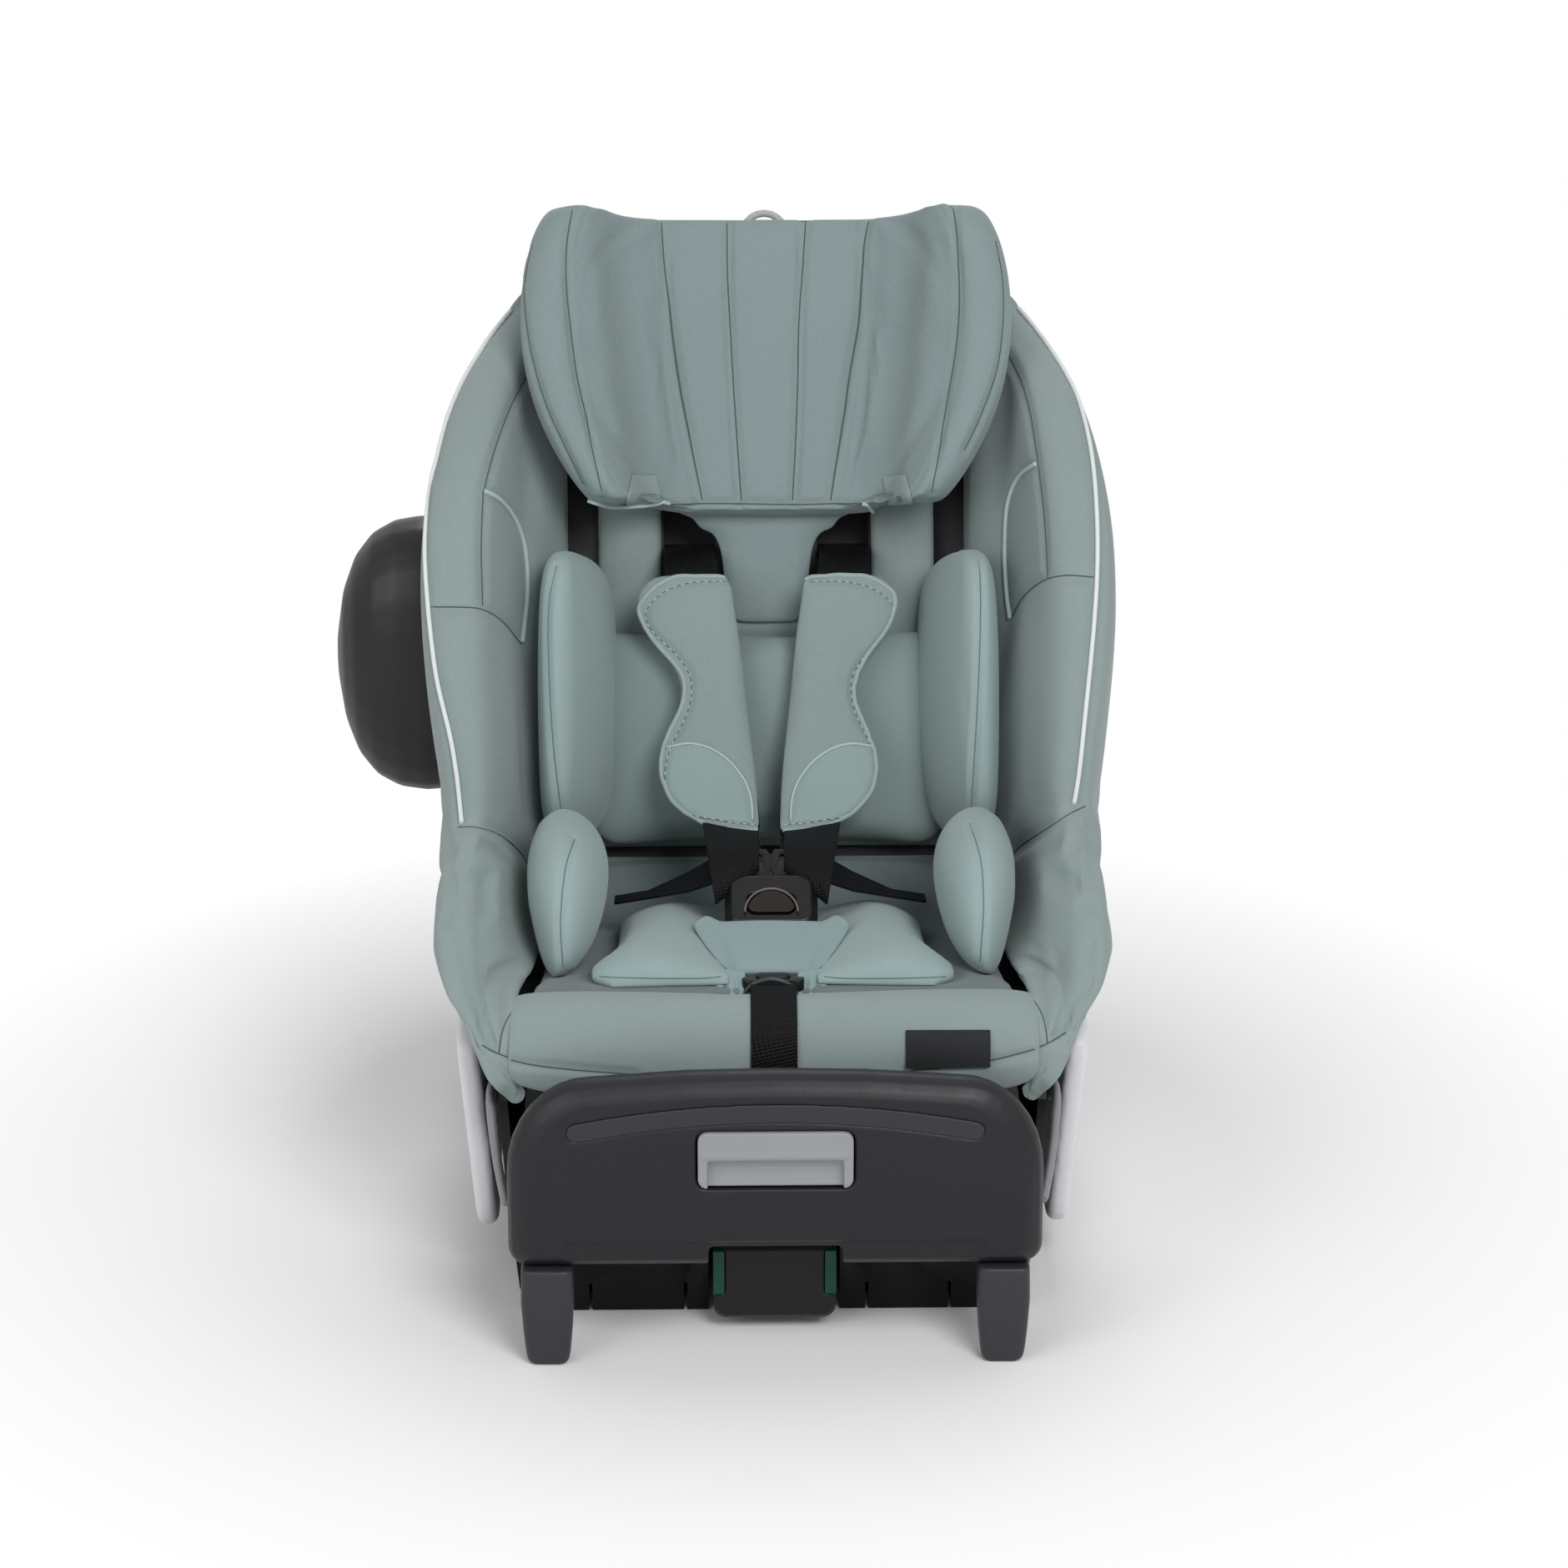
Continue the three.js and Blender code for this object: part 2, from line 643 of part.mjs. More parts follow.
// Guide arms: flat bars that sweep from the walls' outer face forwards and down beside the front bar
function armSolid(side) {
  const startZ = base.wallTop - arm.width / 2;
  const startX = wallX(startZ) + arm.thickness / 2 + slip;
  const startY = plate.front + arm.start;
  const route = new THREE.CatmullRomCurve3([
    new THREE.Vector3(startX, startY, startZ),
    new THREE.Vector3(startX + slip / 2, mix(startY, startY - arm.reach, 0.35), startZ + arm.rise * 0.9),
    new THREE.Vector3(startX - slip, mix(startY, startY - arm.reach, 0.6), startZ + arm.rise),
    new THREE.Vector3(startX - arm.sweep / 2, mix(startY, startY - arm.reach, 0.85), startZ),
    new THREE.Vector3(startX - arm.sweep, startY - arm.reach, startZ - arm.drop),
  ]);
  const frames = evenly(10, 0, 1).map((t) => [route.getPoint(t), route.getTangent(t)]);
  const across = new THREE.Vector3(1, 0, 0);
  const rings = frames.map(([centre, tangent]) => {
    const upright = new THREE.Vector3().crossVectors(across, tangent).normalize();
    return evenly(11, 0, 2 * Math.PI)
      .slice(1)
      .map((angle) =>
        centre
          .clone()
          .addScaledVector(across, (Math.cos(angle) * arm.thickness) / 2)
          .addScaledVector(upright, (Math.sin(angle) * arm.width) / 2),
      );
  });
  const bent = loft(rings);
  return side < 0 ? mirrored(bent) : bent;
}
for (const [name, side] of sides) part(`guide_arm_${name}`, armSolid(side), materials.arm);

const pin = part("leg_hinge_pin", rod(leg.pinRadius, 2 * leg.pinHalfLength), materials.steel);
pin.position.set(0, leg.hingeY, leg.hingeZ);

// Support leg, folded forwards under the base about its hinge pin

supportLeg.position.set(0, leg.hingeY, leg.hingeZ);
const outerLength = leg.hingeY - leg.outerFront;
const innerHalfWidth = leg.outerHalfWidth - leg.wall - fit;
const innerHeight = leg.outerHeight - 2 * (leg.wall + fit);

function outerTube() {
  const half = leg.outerHeight / 2;
  const shape = new THREE.Shape();
  shape.moveTo(-outerLength, -half);
  shape.lineTo(0, -half);
  shape.absarc(0, 0, half, -Math.PI / 2, Math.PI / 2);
  shape.lineTo(-outerLength, half);
  const tube = extrudeX(shape, -leg.outerHalfWidth, 2 * leg.outerHalfWidth);
  const boreHalf = half - leg.wall;
  const boreWidth = leg.outerHalfWidth - leg.wall;
  const bore = box(
    -boreWidth,
    -outerLength - overrun,
    -boreHalf,
    2 * boreWidth,
    outerLength - half,
    2 * boreHalf,
  );
  const pinHole = rod(leg.pinRadius + fit, 2 * leg.outerHalfWidth + 2 * overrun);
  const window = legButtonShape(slip).translate(0, 0, -half - overrun);
  return cut(tube, bore, pinHole, window);
}
function legButtonShape(grow) {
  const [w, l] = [legButton.halfWidth + grow, legButton.length / 2 + grow];
  const y = legButton.y - leg.hingeY;
  return extrude(roundedRectangle(-w, y - l, 2 * w, 2 * l, w * 0.9), leg.wall + 2 * overrun);
}
function innerTube() {
  const [y, length] = [leg.innerFront - leg.hingeY, leg.innerRear - leg.innerFront];
  const tube = box(-innerHalfWidth, y, -innerHeight / 2, 2 * innerHalfWidth, length, innerHeight);
  const [w, h] = [innerHalfWidth - leg.wall, innerHeight / 2 - leg.wall];
  return cut(tube, box(-w, y + 2 * leg.wall, -h, 2 * w, length, 2 * h));
}
function footSolid() {
  const [w, h] = [foot.halfWidth, foot.height];
  const y = foot.front - leg.hingeY + foot.length;
  const shape = roundedRectangle(-w, foot.bottom - leg.hingeZ, 2 * w, h, foot.round);
  const block = extrudeY(shape, y - foot.round / 2, foot.length - foot.round, {
    bevelEnabled: true,
    bevelThickness: foot.round / 2,
    bevelSize: foot.round / 2,
    bevelOffset: -foot.round / 2,
    bevelSegments: 1,
  });
  const seatHole = box(
    -innerHalfWidth - fit,
    leg.innerFront - leg.hingeY - fit,
    -innerHeight / 2 - fit,
    2 * (innerHalfWidth + fit),
    foot.length,
    innerHeight + 2 * fit,
  );
  return cut(block, seatHole, indicatorSolid(fit));
}
// The coloured indicator: a strip in each upper side of the foot, joined by a bar behind it
function indicatorSolid(grow) {
  const front = foot.front - leg.hingeY;
  const height = foot.height * foot.stripeShare + 2 * grow;
  const top = foot.bottom + foot.height - leg.hingeZ - foot.round / 2 + grow;
  const bridge = foot.stripe / 2;
  const strip = box(
    foot.halfWidth - foot.stripe - grow,
    front - (grow ? overrun : 0),
    top - height,
    foot.stripe + 2 * grow,
    foot.length + fit + (grow ? overrun : bridge),
    height,
  );
  if (grow) return join(strip, mirrored(strip));
  const crossY = front + foot.length + fit;
  const cross = box(-foot.halfWidth, crossY, top - foot.stripe, 2 * foot.halfWidth, bridge, foot.stripe);
  return join(cross, strip, mirrored(strip));
}
const legSlider = under(supportLeg);
part("leg_outer_tube", outerTube(), materials.steel, supportLeg);
part("leg_inner_tube", innerTube(), materials.silver, legSlider);
part("leg_foot", footSolid(), materials.bar, legSlider);
part("foot_indicator", indicatorSolid(0), materials.green, legSlider);
const pressed = part("leg_lock_button", legButtonShape(0), materials.button, supportLeg);
pressed.position.z = -leg.outerHeight / 2 - legButton.proud;

// Front bar

function barOutline(inset) {
  const shape = new THREE.Shape();
  const [x, low, high] = [bar.halfWidth - inset, bar.bottom + inset, bar.top - inset];
  const [w, h] = [bar.cornerWidth - inset / 2, bar.cornerHeight - inset / 2];
  const foot = bar.lowerCorner - inset / 2;
  shape.absarc(x - foot, low + foot, foot, -Math.PI / 2, 0);
  shape.absellipse(x - w, high - bar.crown - h, w, h, 0, Math.PI / 2);
  shape.quadraticCurveTo(0, high + bar.crown, w - x, high - bar.crown);
  shape.absellipse(w - x, high - bar.crown - h, w, h, Math.PI / 2, Math.PI);
  shape.absarc(foot - x, low + foot, foot, Math.PI, 1.5 * Math.PI);
  return shape;
}
// The panel's rim rounds over towards the front: shares of its thickness and inset
const barRimShares = [
  [0, 0.55],
  [0.1, 0.15],
  [0.25, 0],
  [0.5, 0],
  [0.72, 0.2],
  [0.9, 0.6],
  [1, 1],
];
function barPanel() {
  const rings = barRimShares.map(([along, inset]) => {
    const y = mix(barRear, barFront, along);
    const points = barOutline(inset * bar.round).getPoints(4);
    return points.slice(0, -1).map((p) => new THREE.Vector3(p.x, y, p.y));
  });
  const deep = barRear - barFront;
  const step = box(
    -bar.stepHalfWidth,
    barFront - overrun,
    bar.bottom - overrun,
    2 * bar.stepHalfWidth,
    bar.stepDepth + overrun,
    bar.stepHeight + overrun,
  );
  const notch = box(
    -bar.notchHalfWidth,
    barFront - overrun,
    bar.bottom - overrun,
    2 * bar.notchHalfWidth,
    deep + 2 * overrun,
    bar.notchHeight + overrun,
  );
  const pocket = handlePlate(slip, handle.thickness - handle.proud + fit, overrun);
  const stemHole = handleStemBox(slip);
  return cut(loft(rings), step, notch, inlayPlate(fit, overrun), pocket, stemHole);
}
// An arched strip with round ends above the handle, level with the panel's face
function inlayPlate(grow, proud) {
  const half = inlay.height / 2 + grow;
  const middle = (share) => [share * inlay.halfWidth, inlay.middle - inlay.arch * share ** 2];
  const edge = (way) =>
    evenly(13, -way, way).map((share) => {
      const lean = Math.atan((-2 * share * inlay.arch) / inlay.halfWidth);
      const [x, z] = middle(share);
      return [x - way * half * Math.sin(lean), z + way * half * Math.cos(lean)];
    });
  const end = (way) => {
    const [x, z] = middle(way);
    return evenly(7, Math.PI / 2, -Math.PI / 2)
      .slice(1, -1)
      .map((turn) => {
        const angle = turn - Math.atan((2 * inlay.arch) / inlay.halfWidth);
        return [x + way * half * Math.cos(angle), z + half * Math.sin(angle)];
      });
  };
  const shape = polygon([...edge(1), ...end(1), ...edge(-1), ...end(-1).toReversed()]);
  return extrudeY(shape, barFront + inlay.depth + grow, inlay.depth + grow + proud);
}
function handlePlate(grow, depth, proud) {
  const [x, z] = [handle.halfWidth + grow, handle.bottom - grow];
  const shape = roundedRectangle(-x, z, 2 * x, handle.height + 2 * grow, handle.corner + grow);
  return extrudeY(shape, barFront + depth, depth + proud);
}
function handleStemBox(grow) {
  const z = handle.bottom + (handle.height - handleStem.height) / 2;
  const y = barFront + handle.thickness - handle.proud - overrun;
  return box(
    -handleStem.halfWidth - grow,
    y,
    z - grow,
    2 * (handleStem.halfWidth + grow),
    handleStem.length + overrun + (grow ? slip : 0),
    handleStem.height + 2 * grow,
  );
}
// The pull: a plate with a finger scoop under its proud lip
function pullHandle() {
  const grip = handlePlate(-fit, handle.thickness - handle.proud, handle.proud);
  const dish = rod(scoop.radius, 2 * (handle.halfWidth - handle.corner), 20);
  dish.translate(0, barFront - handle.proud + scoop.depth - scoop.radius, handle.bottom + scoop.rise);
  const brow = rod(lip.radius, 2 * (handle.halfWidth - handle.corner / 2));
  brow.translate(0, barFront - handle.proud - lip.proud + lip.radius, handle.bottom + lip.rise);
  return join(cut(join(grip, handleStemBox(0)), dish), brow);
}
part("bar_panel", barPanel(), materials.bar, frontBar);
part("bar_inlay", inlayPlate(0, 0), materials.trim, frontBar);
part("release_handle", pullHandle(), materials.silver, under(frontBar));

// A leg under each end of the panel, drawn in towards its rounded foot
const legRimShares = [
  [0, 0.3],
  [0.03, 0.21],
  [0.12, 0.15],
  [0.35, 0.07],
  [0.65, 0],
  [1, 0.03],
];
function barLeg(side) {
  const x = tubeX;
  const middle = (barRear + barFront) / 2;
  const height = bar.bottom - fit;
  const rings = legRimShares.map(([along, inset]) => {
    const [w, d] = [bar.legWidth * (1 - inset), bar.legThickness * (1 - inset)];
    const outline = roundedRectangle(-w / 2, -d / 2, w, d, bar.legThickness / 4);
    const points = outline.getPoints(2).slice(0, -1);
    return points.map((p) => new THREE.Vector3(side * x + p.x, middle + p.y, along * height));
  });
  return loft(rings);
}
for (const [name, side] of sides) {
  part(`bar_leg_${name}`, barLeg(side), materials.bar, frontBar);
  const length = bar.tubeRear - barRear - fit;
  const stem = box(-bar.tube / 2, barRear + fit, bar.tubeZ - bar.tube / 2, bar.tube, length, bar.tube);
  const inside = bar.tube - 2 * leg.wall;
  const bore = box(-inside / 2, barRear + fit + leg.wall, bar.tubeZ - inside / 2, inside, length, inside);
  const tube = part(`bar_tube_${name}`, cut(stem, bore), materials.steel, frontBar);
  tube.position.x = side * tubeX;
}

// Seat shell

// The shell's face at a row, from the left rim to the right one, moved outwards by some thickness
const wallShares = [0.3, 0.55, 0.8, 1];
function shellRow(row, outset) {
  const lift = -seat.padding - fit - outset;
  const inner = row.footX + seat.padding;
  const outer = row.rimX - seat.hemThickness - slip - seat.wall * seat.wallSlant;
  const top = row.height - seat.rimSlot - slip;
  const wall = wallShares.map((share) => {
    const x = mix(inner, outer, share) + outset * seat.wallSlant;
    return (side) => wallPoint(row, side * x, share * top);
  });
  const corner = (side) => floorPoint(side * (inner + outset * seat.wallSlant), row.length, lift);
  const floor = [-0.5, 0, 0.5].map((share) => floorPoint(share * inner, row.length, lift));
  const left = wall.toReversed().map((at) => at(-1));
  const right = wall.map((at) => at(1));
  return [...left, corner(-1), ...floor, corner(1), ...right];
}
const shellRows = sideRows.filter((row) => row.length > -seat.panLength);
const shellBody = (from, to) =>
  slab(
    shellRows.map((row) => shellRow(row, from)),
    shellRows.map((row) => shellRow(row, to)),
  );
// The space that the bucket takes, for cutting what seats under it
const shellSpace = shellBody(-3 * seat.padding, seat.wall + fit);

// A slot cut square to the back or the pan
function backSlot(x, up, width, height) {
  const slot = box(-width / 2, -seat.wall * 3, 0, width, seat.wall * 6, height);
  const at = backSpot(up, -seat.padding);
  return slot.rotateX(-seat.backLean).translate(x, at.x, at.y);
}
function panSlot(x, ahead, width, length) {
  const slot = box(-width / 2, -length, -seat.padding * 2, width, length, seat.padding * 2 + overrun);
  const at = panSpot(ahead - length / 2, 0);
  return slot.rotateX(-seat.panRise).translate(x, at.x, at.y);
}
const harnessSlots = sides.map(([, side]) =>
  backSlot(side * strap.slotX, slots.bottom, strap.width + 2 * fit + slip, slots.height),
);
const sliderWidth = 2 * (head.sliderHalfWidth + slip);
const sliderSlot = backSlot(0, slots.bottom + overrun, sliderWidth, slots.height + 2 * overrun);
const crotchSlot = panSlot(0, crotch.f, crotch.width + 2 * slip, crotch.slot);
const seatShell = cut(shellBody(0, seat.wall), ...harnessSlots, sliderSlot, crotchSlot);
part("seat_shell", seatShell, materials.shell, bucket);

const runnerInner = rail.inner + (rail.width - runner.width) / 2;

// Runners: webs under the shell that ride in the rails' grooves
function runnerSolid(side) {
  const radius = (recline.railRadius + rail.groove) * Math.cos(recline.step / 2) - fit;
  const arc = evenly(16, rail.front + overrun, runner.rear).map((y) => [
    y,
    recline.axisZ - Math.sqrt(radius ** 2 - (y - recline.axisY) ** 2),
  ]);
  const top = [
    [runner.rear, runner.rearHeight],
    backSpot(runner.rear, 0).toArray(),
    [seat.creaseY, seat.creaseZ + seat.padding],
    panSpot(recline.axisY - rail.front + seat.creaseRadius, 0).toArray(),
    [rail.front + overrun, arc[0][1] + runner.web],
  ];
  const web = extrudeX(polygon([...arc, ...top]), 0, runner.width);
  web.translate(runnerInner, 0, 0);
  const pinHole = rod(lever.pivot + fit, 2 * (runnerInner + 2 * lever.pivot + fit));
  pinHole.translate(0, lever.y, lever.z);
  const seated = cut(web, shellSpace, pinHole);
  return side < 0 ? mirrored(seated) : seated;
}
for (const [name, side] of sides) part(`runner_${name}`, runnerSolid(side), materials.shell, bucket);

// Covers

// One side of the cover: up the inner wall, over the padded roll and down round the shell's edge
const liningShares = [
  [0.02, 0],
  [0.27, 0.32],
  [0.43, 0.64],
  [0.5, 0.9],
];
const rollShares = [
  [0.6, 0.75],
  [0.77, 1],
  [0.93, 0.6],
];
function wingRows(row) {
  const spread = row.rimX - row.footX;
  const roll = Math.min(1, row.height / (2 * seat.frontRadius)) * seat.rimLift;
  const face = [
    ...liningShares.map(([out, up]) => [row.footX + out * spread, up * row.height]),
    ...rollShares.map(([out, up]) => [row.footX + out * spread, row.height + up * roll]),
    [row.rimX, row.height - roll / 2],
    [row.rimX, row.height - seat.rimSlot - row.height * seat.hemShare],
  ];
  const inner = row.footX + seat.padding;
  const shellX = row.rimX - seat.hemThickness - 2 * slip - seat.wall * seat.wallSlant;
  const top = row.height - seat.rimSlot;
  const hemX = row.rimX - seat.hemThickness;
  const lined = (share) => [mix(inner, shellX, share) - overrun, share * top + slip];
  const behind = [
    lined(0.3),
    lined(0.55),
    lined(0.8),
    [shellX - fit, top],
    [(shellX + hemX) / 2, top],
    [hemX, top],
    [hemX, top - (row.height * seat.hemShare) / 2],
    [hemX, top - row.height * seat.hemShare],
  ];
  return [face, behind];
}
function wingSolid(side) {
  const faces = sideRows.map((row) => wingRows(row)[0].map(([x, up]) => wallPoint(row, side * x, up)));
  const backs = sideRows.map((row) => [
    floorPoint(side * (row.footX + fit), row.length, -seat.padding),
    ...wingRows(row)[1].map(([x, up]) => wallPoint(row, side * x, up)),
  ]);
  return slab(faces, backs);
}
for (const [name, side] of sides) part(`cover_wing_${name}`, wingSolid(side), materials.cover, bucket);

// A stretch of padding on the bucket's floor, between two lengths along it
function floorPad(start, end, columns, lift, halfWidth) {
  const inside = sideRows.map((row) => row.length).filter((length) => length < start && length > end);
  const lengths = [start, ...inside, end];
  const across = (length) => (halfWidth ?? footAt(length)) - fit;
  const grid = (height) =>
    lengths.map((length) => columns.map((u) => floorPoint(u * across(length), length, height(u))));
  return slab(grid(lift), grid(() => -seat.padding));
}
const flat = () => 0;
const bolster = (u) => seat.bolsterCrown * swell(u);
const backPanel = floorPad(column.bottom, coverSplit.back + fit, evenly(7), flat);
const backColumns = sides.map(([, side]) => {
  const width = column.outer - column.inner;
  const strip = floorPad(column.top, column.bottom - fit, evenly(2), flat, width / 2);
  return strip.translate((side * (column.inner + column.outer)) / 2, 0, 0);
});
part("cover_back", join(backPanel, ...backColumns), materials.cover, bucket);
const adjusterSlot = panSlot(0, adjusterF, adjuster.width + 2 * slip, adjuster.length + 2 * slip);
const seatPad = cut(floorPad(coverSplit.back, -frontSplit, evenly(7), flat), crotchSlot, adjusterSlot);
part("cover_seat", seatPad, materials.cover, bucket);
part("cover_front", floorPad(-frontSplit - fit, -panFace, evenly(13), bolster), materials.cover, bucket);

// Side pod: a dome on a mount that seats against the shell's left wall

const podRimShares = [
  [0, 0.94],
  [0.03, 0.98],
  [0.3, 1],
  [0.52, 0.97],
  [0.7, 0.88],
  [0.84, 0.72],
  [0.94, 0.48],
  [1, 0.14],
];
function podSolid() {
  const rings = podRimShares.map(([along, size]) => {
    const x = -mix(pod.inner + pod.plate + fit, pod.reach, along);
    return evenly(25, 0, 2 * Math.PI)
      .slice(1)
      .map((angle) => {
        const [c, s] = [Math.cos(angle), Math.sin(angle)];
        const square = (v) => Math.sign(v) * Math.abs(v) ** 0.85;
        return new THREE.Vector3(x, pod.halfDepth * size * square(c), pod.halfHeight * size * square(s));
      });
  });
  return cut(loft(rings).translate(0, pod.y, pod.z), podPeg(slip));
}
// The peg that the pod slides on
function podPeg(grow) {
  const length = podStem.pegLength + pod.plate + grow;
  return rod(podStem.peg + grow, length).translate(-pod.inner - length / 2, pod.y, pod.z);
}
function podMount() {
  const { y, half, length } = podStem;
  const block = roundedRectangle(y - half, pod.z - half, 2 * half, 2 * half, half / 3);
  const stem = extrudeX(block, -pod.inner, length);
  const face = roundedRectangle(y - half, pod.z - 2 * half, 2.5 * half, 4 * half, half / 2);
  const flange = extrudeX(face, -pod.inner - pod.plate, pod.plate);
  return cut(join(flange, stem, podPeg(0)), shellSpace);
}
part("pod_mount", podMount(), materials.trim, bucket);
part("side_pod", podSolid(), materials.pod, under(bucket));

// Recline lever: a flat paddle whose cross pin turns in the two runners

const leverGroup = under(bucket);
leverGroup.position.set(0, lever.y, lever.z);
function leverSolid() {
  const [w, t] = [lever.width / 2, lever.thickness / 2];
  const outline = roundedRectangle(-w, -lever.length, 2 * w, lever.length, lever.lug);
  const paddle = extrude(outline, lever.thickness);
  const eye = rod(lever.pivot + lever.thickness / 2, 2 * w - 2 * lever.lug);
  return join(paddle.translate(0, 0, -t), eye, rod(lever.pivot, 2 * (runnerInner + lever.pivot * 2)));
}
part("recline_lever", leverSolid(), materials.trim, leverGroup);

// Headrest

// Half of the headrest's section as shares of its half width and reach: the padded face from the middle
// to the wing's tip, then round the tip and back along the shell
const headFaceShares = [
  [0, 0.37],
  [0.13, 0.375],
  [0.15, 0.35],
  [0.17, 0.375],
  [0.38, 0.385],
  [0.405, 0.365],
  [0.43, 0.4],
  [0.56, 0.51],
  [0.68, 0.7],
  [0.765, 0.93],
  [0.785, 0.925],
  [0.81, 0.98],
  [0.88, 1],
  [0.96, 0.94],
  [1, 0.8],
  [0.975, 0.6],
  [0.87, 0.47],
  [0.71, 0.32],
  [0.59, 0.12],
  [0.44, 0.065],
];
// Up the headrest: height, half width and depth, as shares
const headRowShares = [
  [0, 0.7, 0.9],
  [0.02, 0.735, 0.96],
  [0.1, 0.81, 1],
  [0.25, 0.91, 1],
  [0.42, 0.975, 1],
  [0.6, 1, 1],
  [0.78, 0.985, 1],
  [0.9, 0.945, 1],
  [0.975, 0.9, 0.96],
  [1, 0.86, 0.88],
];
function headPad() {
  const rings = headRowShares.map(([along, wide, deep]) => {
    const half = headFaceShares.map(([x, out]) => [
      x * wide * head.halfWidth,
      head.back + fit + (out - headFaceShares.at(-1)[1]) * deep * head.reach,
    ]);
    const other = half.slice(1).toReversed().map(([x, out]) => [-x, out]);
    const up = mix(head.bottom, head.top, along);
    return [...half, ...other].map(([x, out]) => backPoint(x, up, out));
  });
  return loft(rings);
}
part("headrest_pad", headPad(), materials.cover, headrest);

// The plastic shell behind the pad follows its back, a wall thick
const headShellShares = [
  [0, 0],
  [0.44, 0],
  [0.59, 0.055],
  [0.71, 0.255],
  [0.83, 0.355],
];
const headShellEndShares = [0.05, 0.96];
function headRowAt(along) {
  const k = headRowShares.findIndex(([a]) => a >= along);
  const [low, high] = [headRowShares[k - 1], headRowShares[k]];
  return low.map((value, i) => mix(value, high[i], (along - low[0]) / (high[0] - low[0])));
}
function headShell() {
  const [start, end] = headShellEndShares;
  const between = headRowShares.filter(([along]) => along > start && along < end);
  const rows = [headRowAt(start), ...between, headRowAt(end)];
  const line = [...headShellShares.slice(1).toReversed().map(([x, out]) => [-x, out]), ...headShellShares];
  const face = (offset) =>
    rows.map(([along, wide, deep]) =>
      line.map(([x, out]) => {
        const across = x * wide * head.halfWidth + Math.sign(x) * (out > 0 ? 2 * slip : 0);
        const depth = head.back + out * deep * head.reach - offset;
        return backPoint(across, mix(head.bottom, head.top, along), depth);
      }),
    );
  return slab(face(0), face(head.shell));
}
// The slider behind it holds the headrest to the bucket through the middle slot
function sliderSolid() {
  const neck = head.back - head.shell / 2 + seat.padding + seat.wall + slip * 2;
  const flange = 2 * head.sliderHalfWidth;
  const through = box(-head.sliderHalfWidth, 0, 0, 2 * head.sliderHalfWidth, neck, head.sliderHeight);
  const keeper = box(-flange, neck, 0, 2 * flange, head.shell, head.sliderHeight);
  const lug = box(-flange, 0, 0, 2 * flange, head.shell, 2 * head.sliderHeight);
  const at = backSpot(head.sliderUp, head.back - head.shell / 2);
  return join(through, keeper, lug).rotateX(-seat.backLean).translate(0, at.x, at.y);
}
part("headrest_shell", join(headShell(), sliderSolid()), materials.shell, headrest);

// The flap below the headrest: a stepped tongue with a rounded end
const flapRowShares = [
  [0, 0.3],
  [0.05, 0.42],
  [0.2, 0.47],
  [0.6, 0.52],
  [0.8, 0.56],
  [0.84, 0.78],
  [0.92, 0.8],
  [0.94, 1],
  [1, 1],
];
const flapRows = flapRowShares.map(([along, wide]) => [
  mix(tongueFlap.bottom, head.bottom - fit, along),
  -wide * tongueFlap.halfWidth,
  wide * tongueFlap.halfWidth,
]);
const flap = cushion({
  rows: flapRows,
  columns: evenly(7),
  place: (x, up, lift) => backPoint(x, up, tongueFlap.out + lift),
  edge: tongueFlap.thickness / 2,
  crown: tongueFlap.thickness / 2,
  draw: 0.02,
});
part("headrest_tongue", flap, materials.cover, headrest);

// Lift handle: a bail that stands up behind the headrest's top edge
function loopSolid() {
  const { radius, leg: length } = loop;
  const arch = evenly(11, Math.PI, 0).map(
    (a) => new THREE.Vector3(radius * Math.cos(a), 0, radius * Math.sin(a)),
  );
  const foot = (x) => [new THREE.Vector3(x, 0, -length), new THREE.Vector3(x, 0, -length / 2)];
  const points = [...foot(-radius), ...arch, ...foot(radius).toReversed()];
  const rings = points.map((centre, i) => {
    const next = points[Math.min(i + 1, points.length - 1)];
    const ahead = next.clone().sub(points[Math.max(i - 1, 0)]).normalize();
    const side = new THREE.Vector3(-ahead.z, 0, ahead.x);
    return evenly(9, 0, 2 * Math.PI)
      .slice(1)
      .map((a) =>
        centre
          .clone()
          .addScaledVector(side, loop.tube * Math.cos(a))
          .add(new THREE.Vector3(0, loop.tube * Math.sin(a), 0)),
      );
  });
  return loft(rings);
}
const bail = part("headrest_loop", loopSolid(), materials.loop, under(headrest));
bail.rotation.x = -seat.backLean;
bail.position.copy(backPoint(0, head.top + loop.rise - loop.radius / 2, loop.out));

// Harness

// Each pad from its top round the shoulder and down to the buckle, as shares: height, reach,
// inner and outer edge, and the middle of the webbing behind it
const padShares = [
  [0.98, 0.4, 0.28, 0.83, 0.97],
  [0.945, 0.41, 0.255, 0.965, 0.95],
  [0.88, 0.42, 0.235, 1, 0.9],
  [0.81, 0.43, 0.205, 0.92, 0.85],
  [0.735, 0.445, 0.185, 0.75, 0.8],
  [0.66, 0.465, 0.165, 0.645, 0.74],
  [0.585, 0.495, 0.145, 0.655, 0.68],
  [0.485, 0.545, 0.115, 0.79, 0.6],
  [0.395, 0.6, 0.09, 0.835, 0.52],
  [0.305, 0.705, 0.075, 0.77, 0.46],
  [0.235, 0.835, 0.07, 0.575, 0.41],
  [0.2, 0.925, 0.07, 0.28, 0.37],
];
const padRows = padShares.map(([up, out, inner, outer, webbingX]) => ({
  spot: backSpot(up * pads.height, out * pads.reach),
  inner: inner * pads.halfWidth,
  outer: outer * pads.halfWidth,
  webbingX: webbingX * strap.slotX,
}));
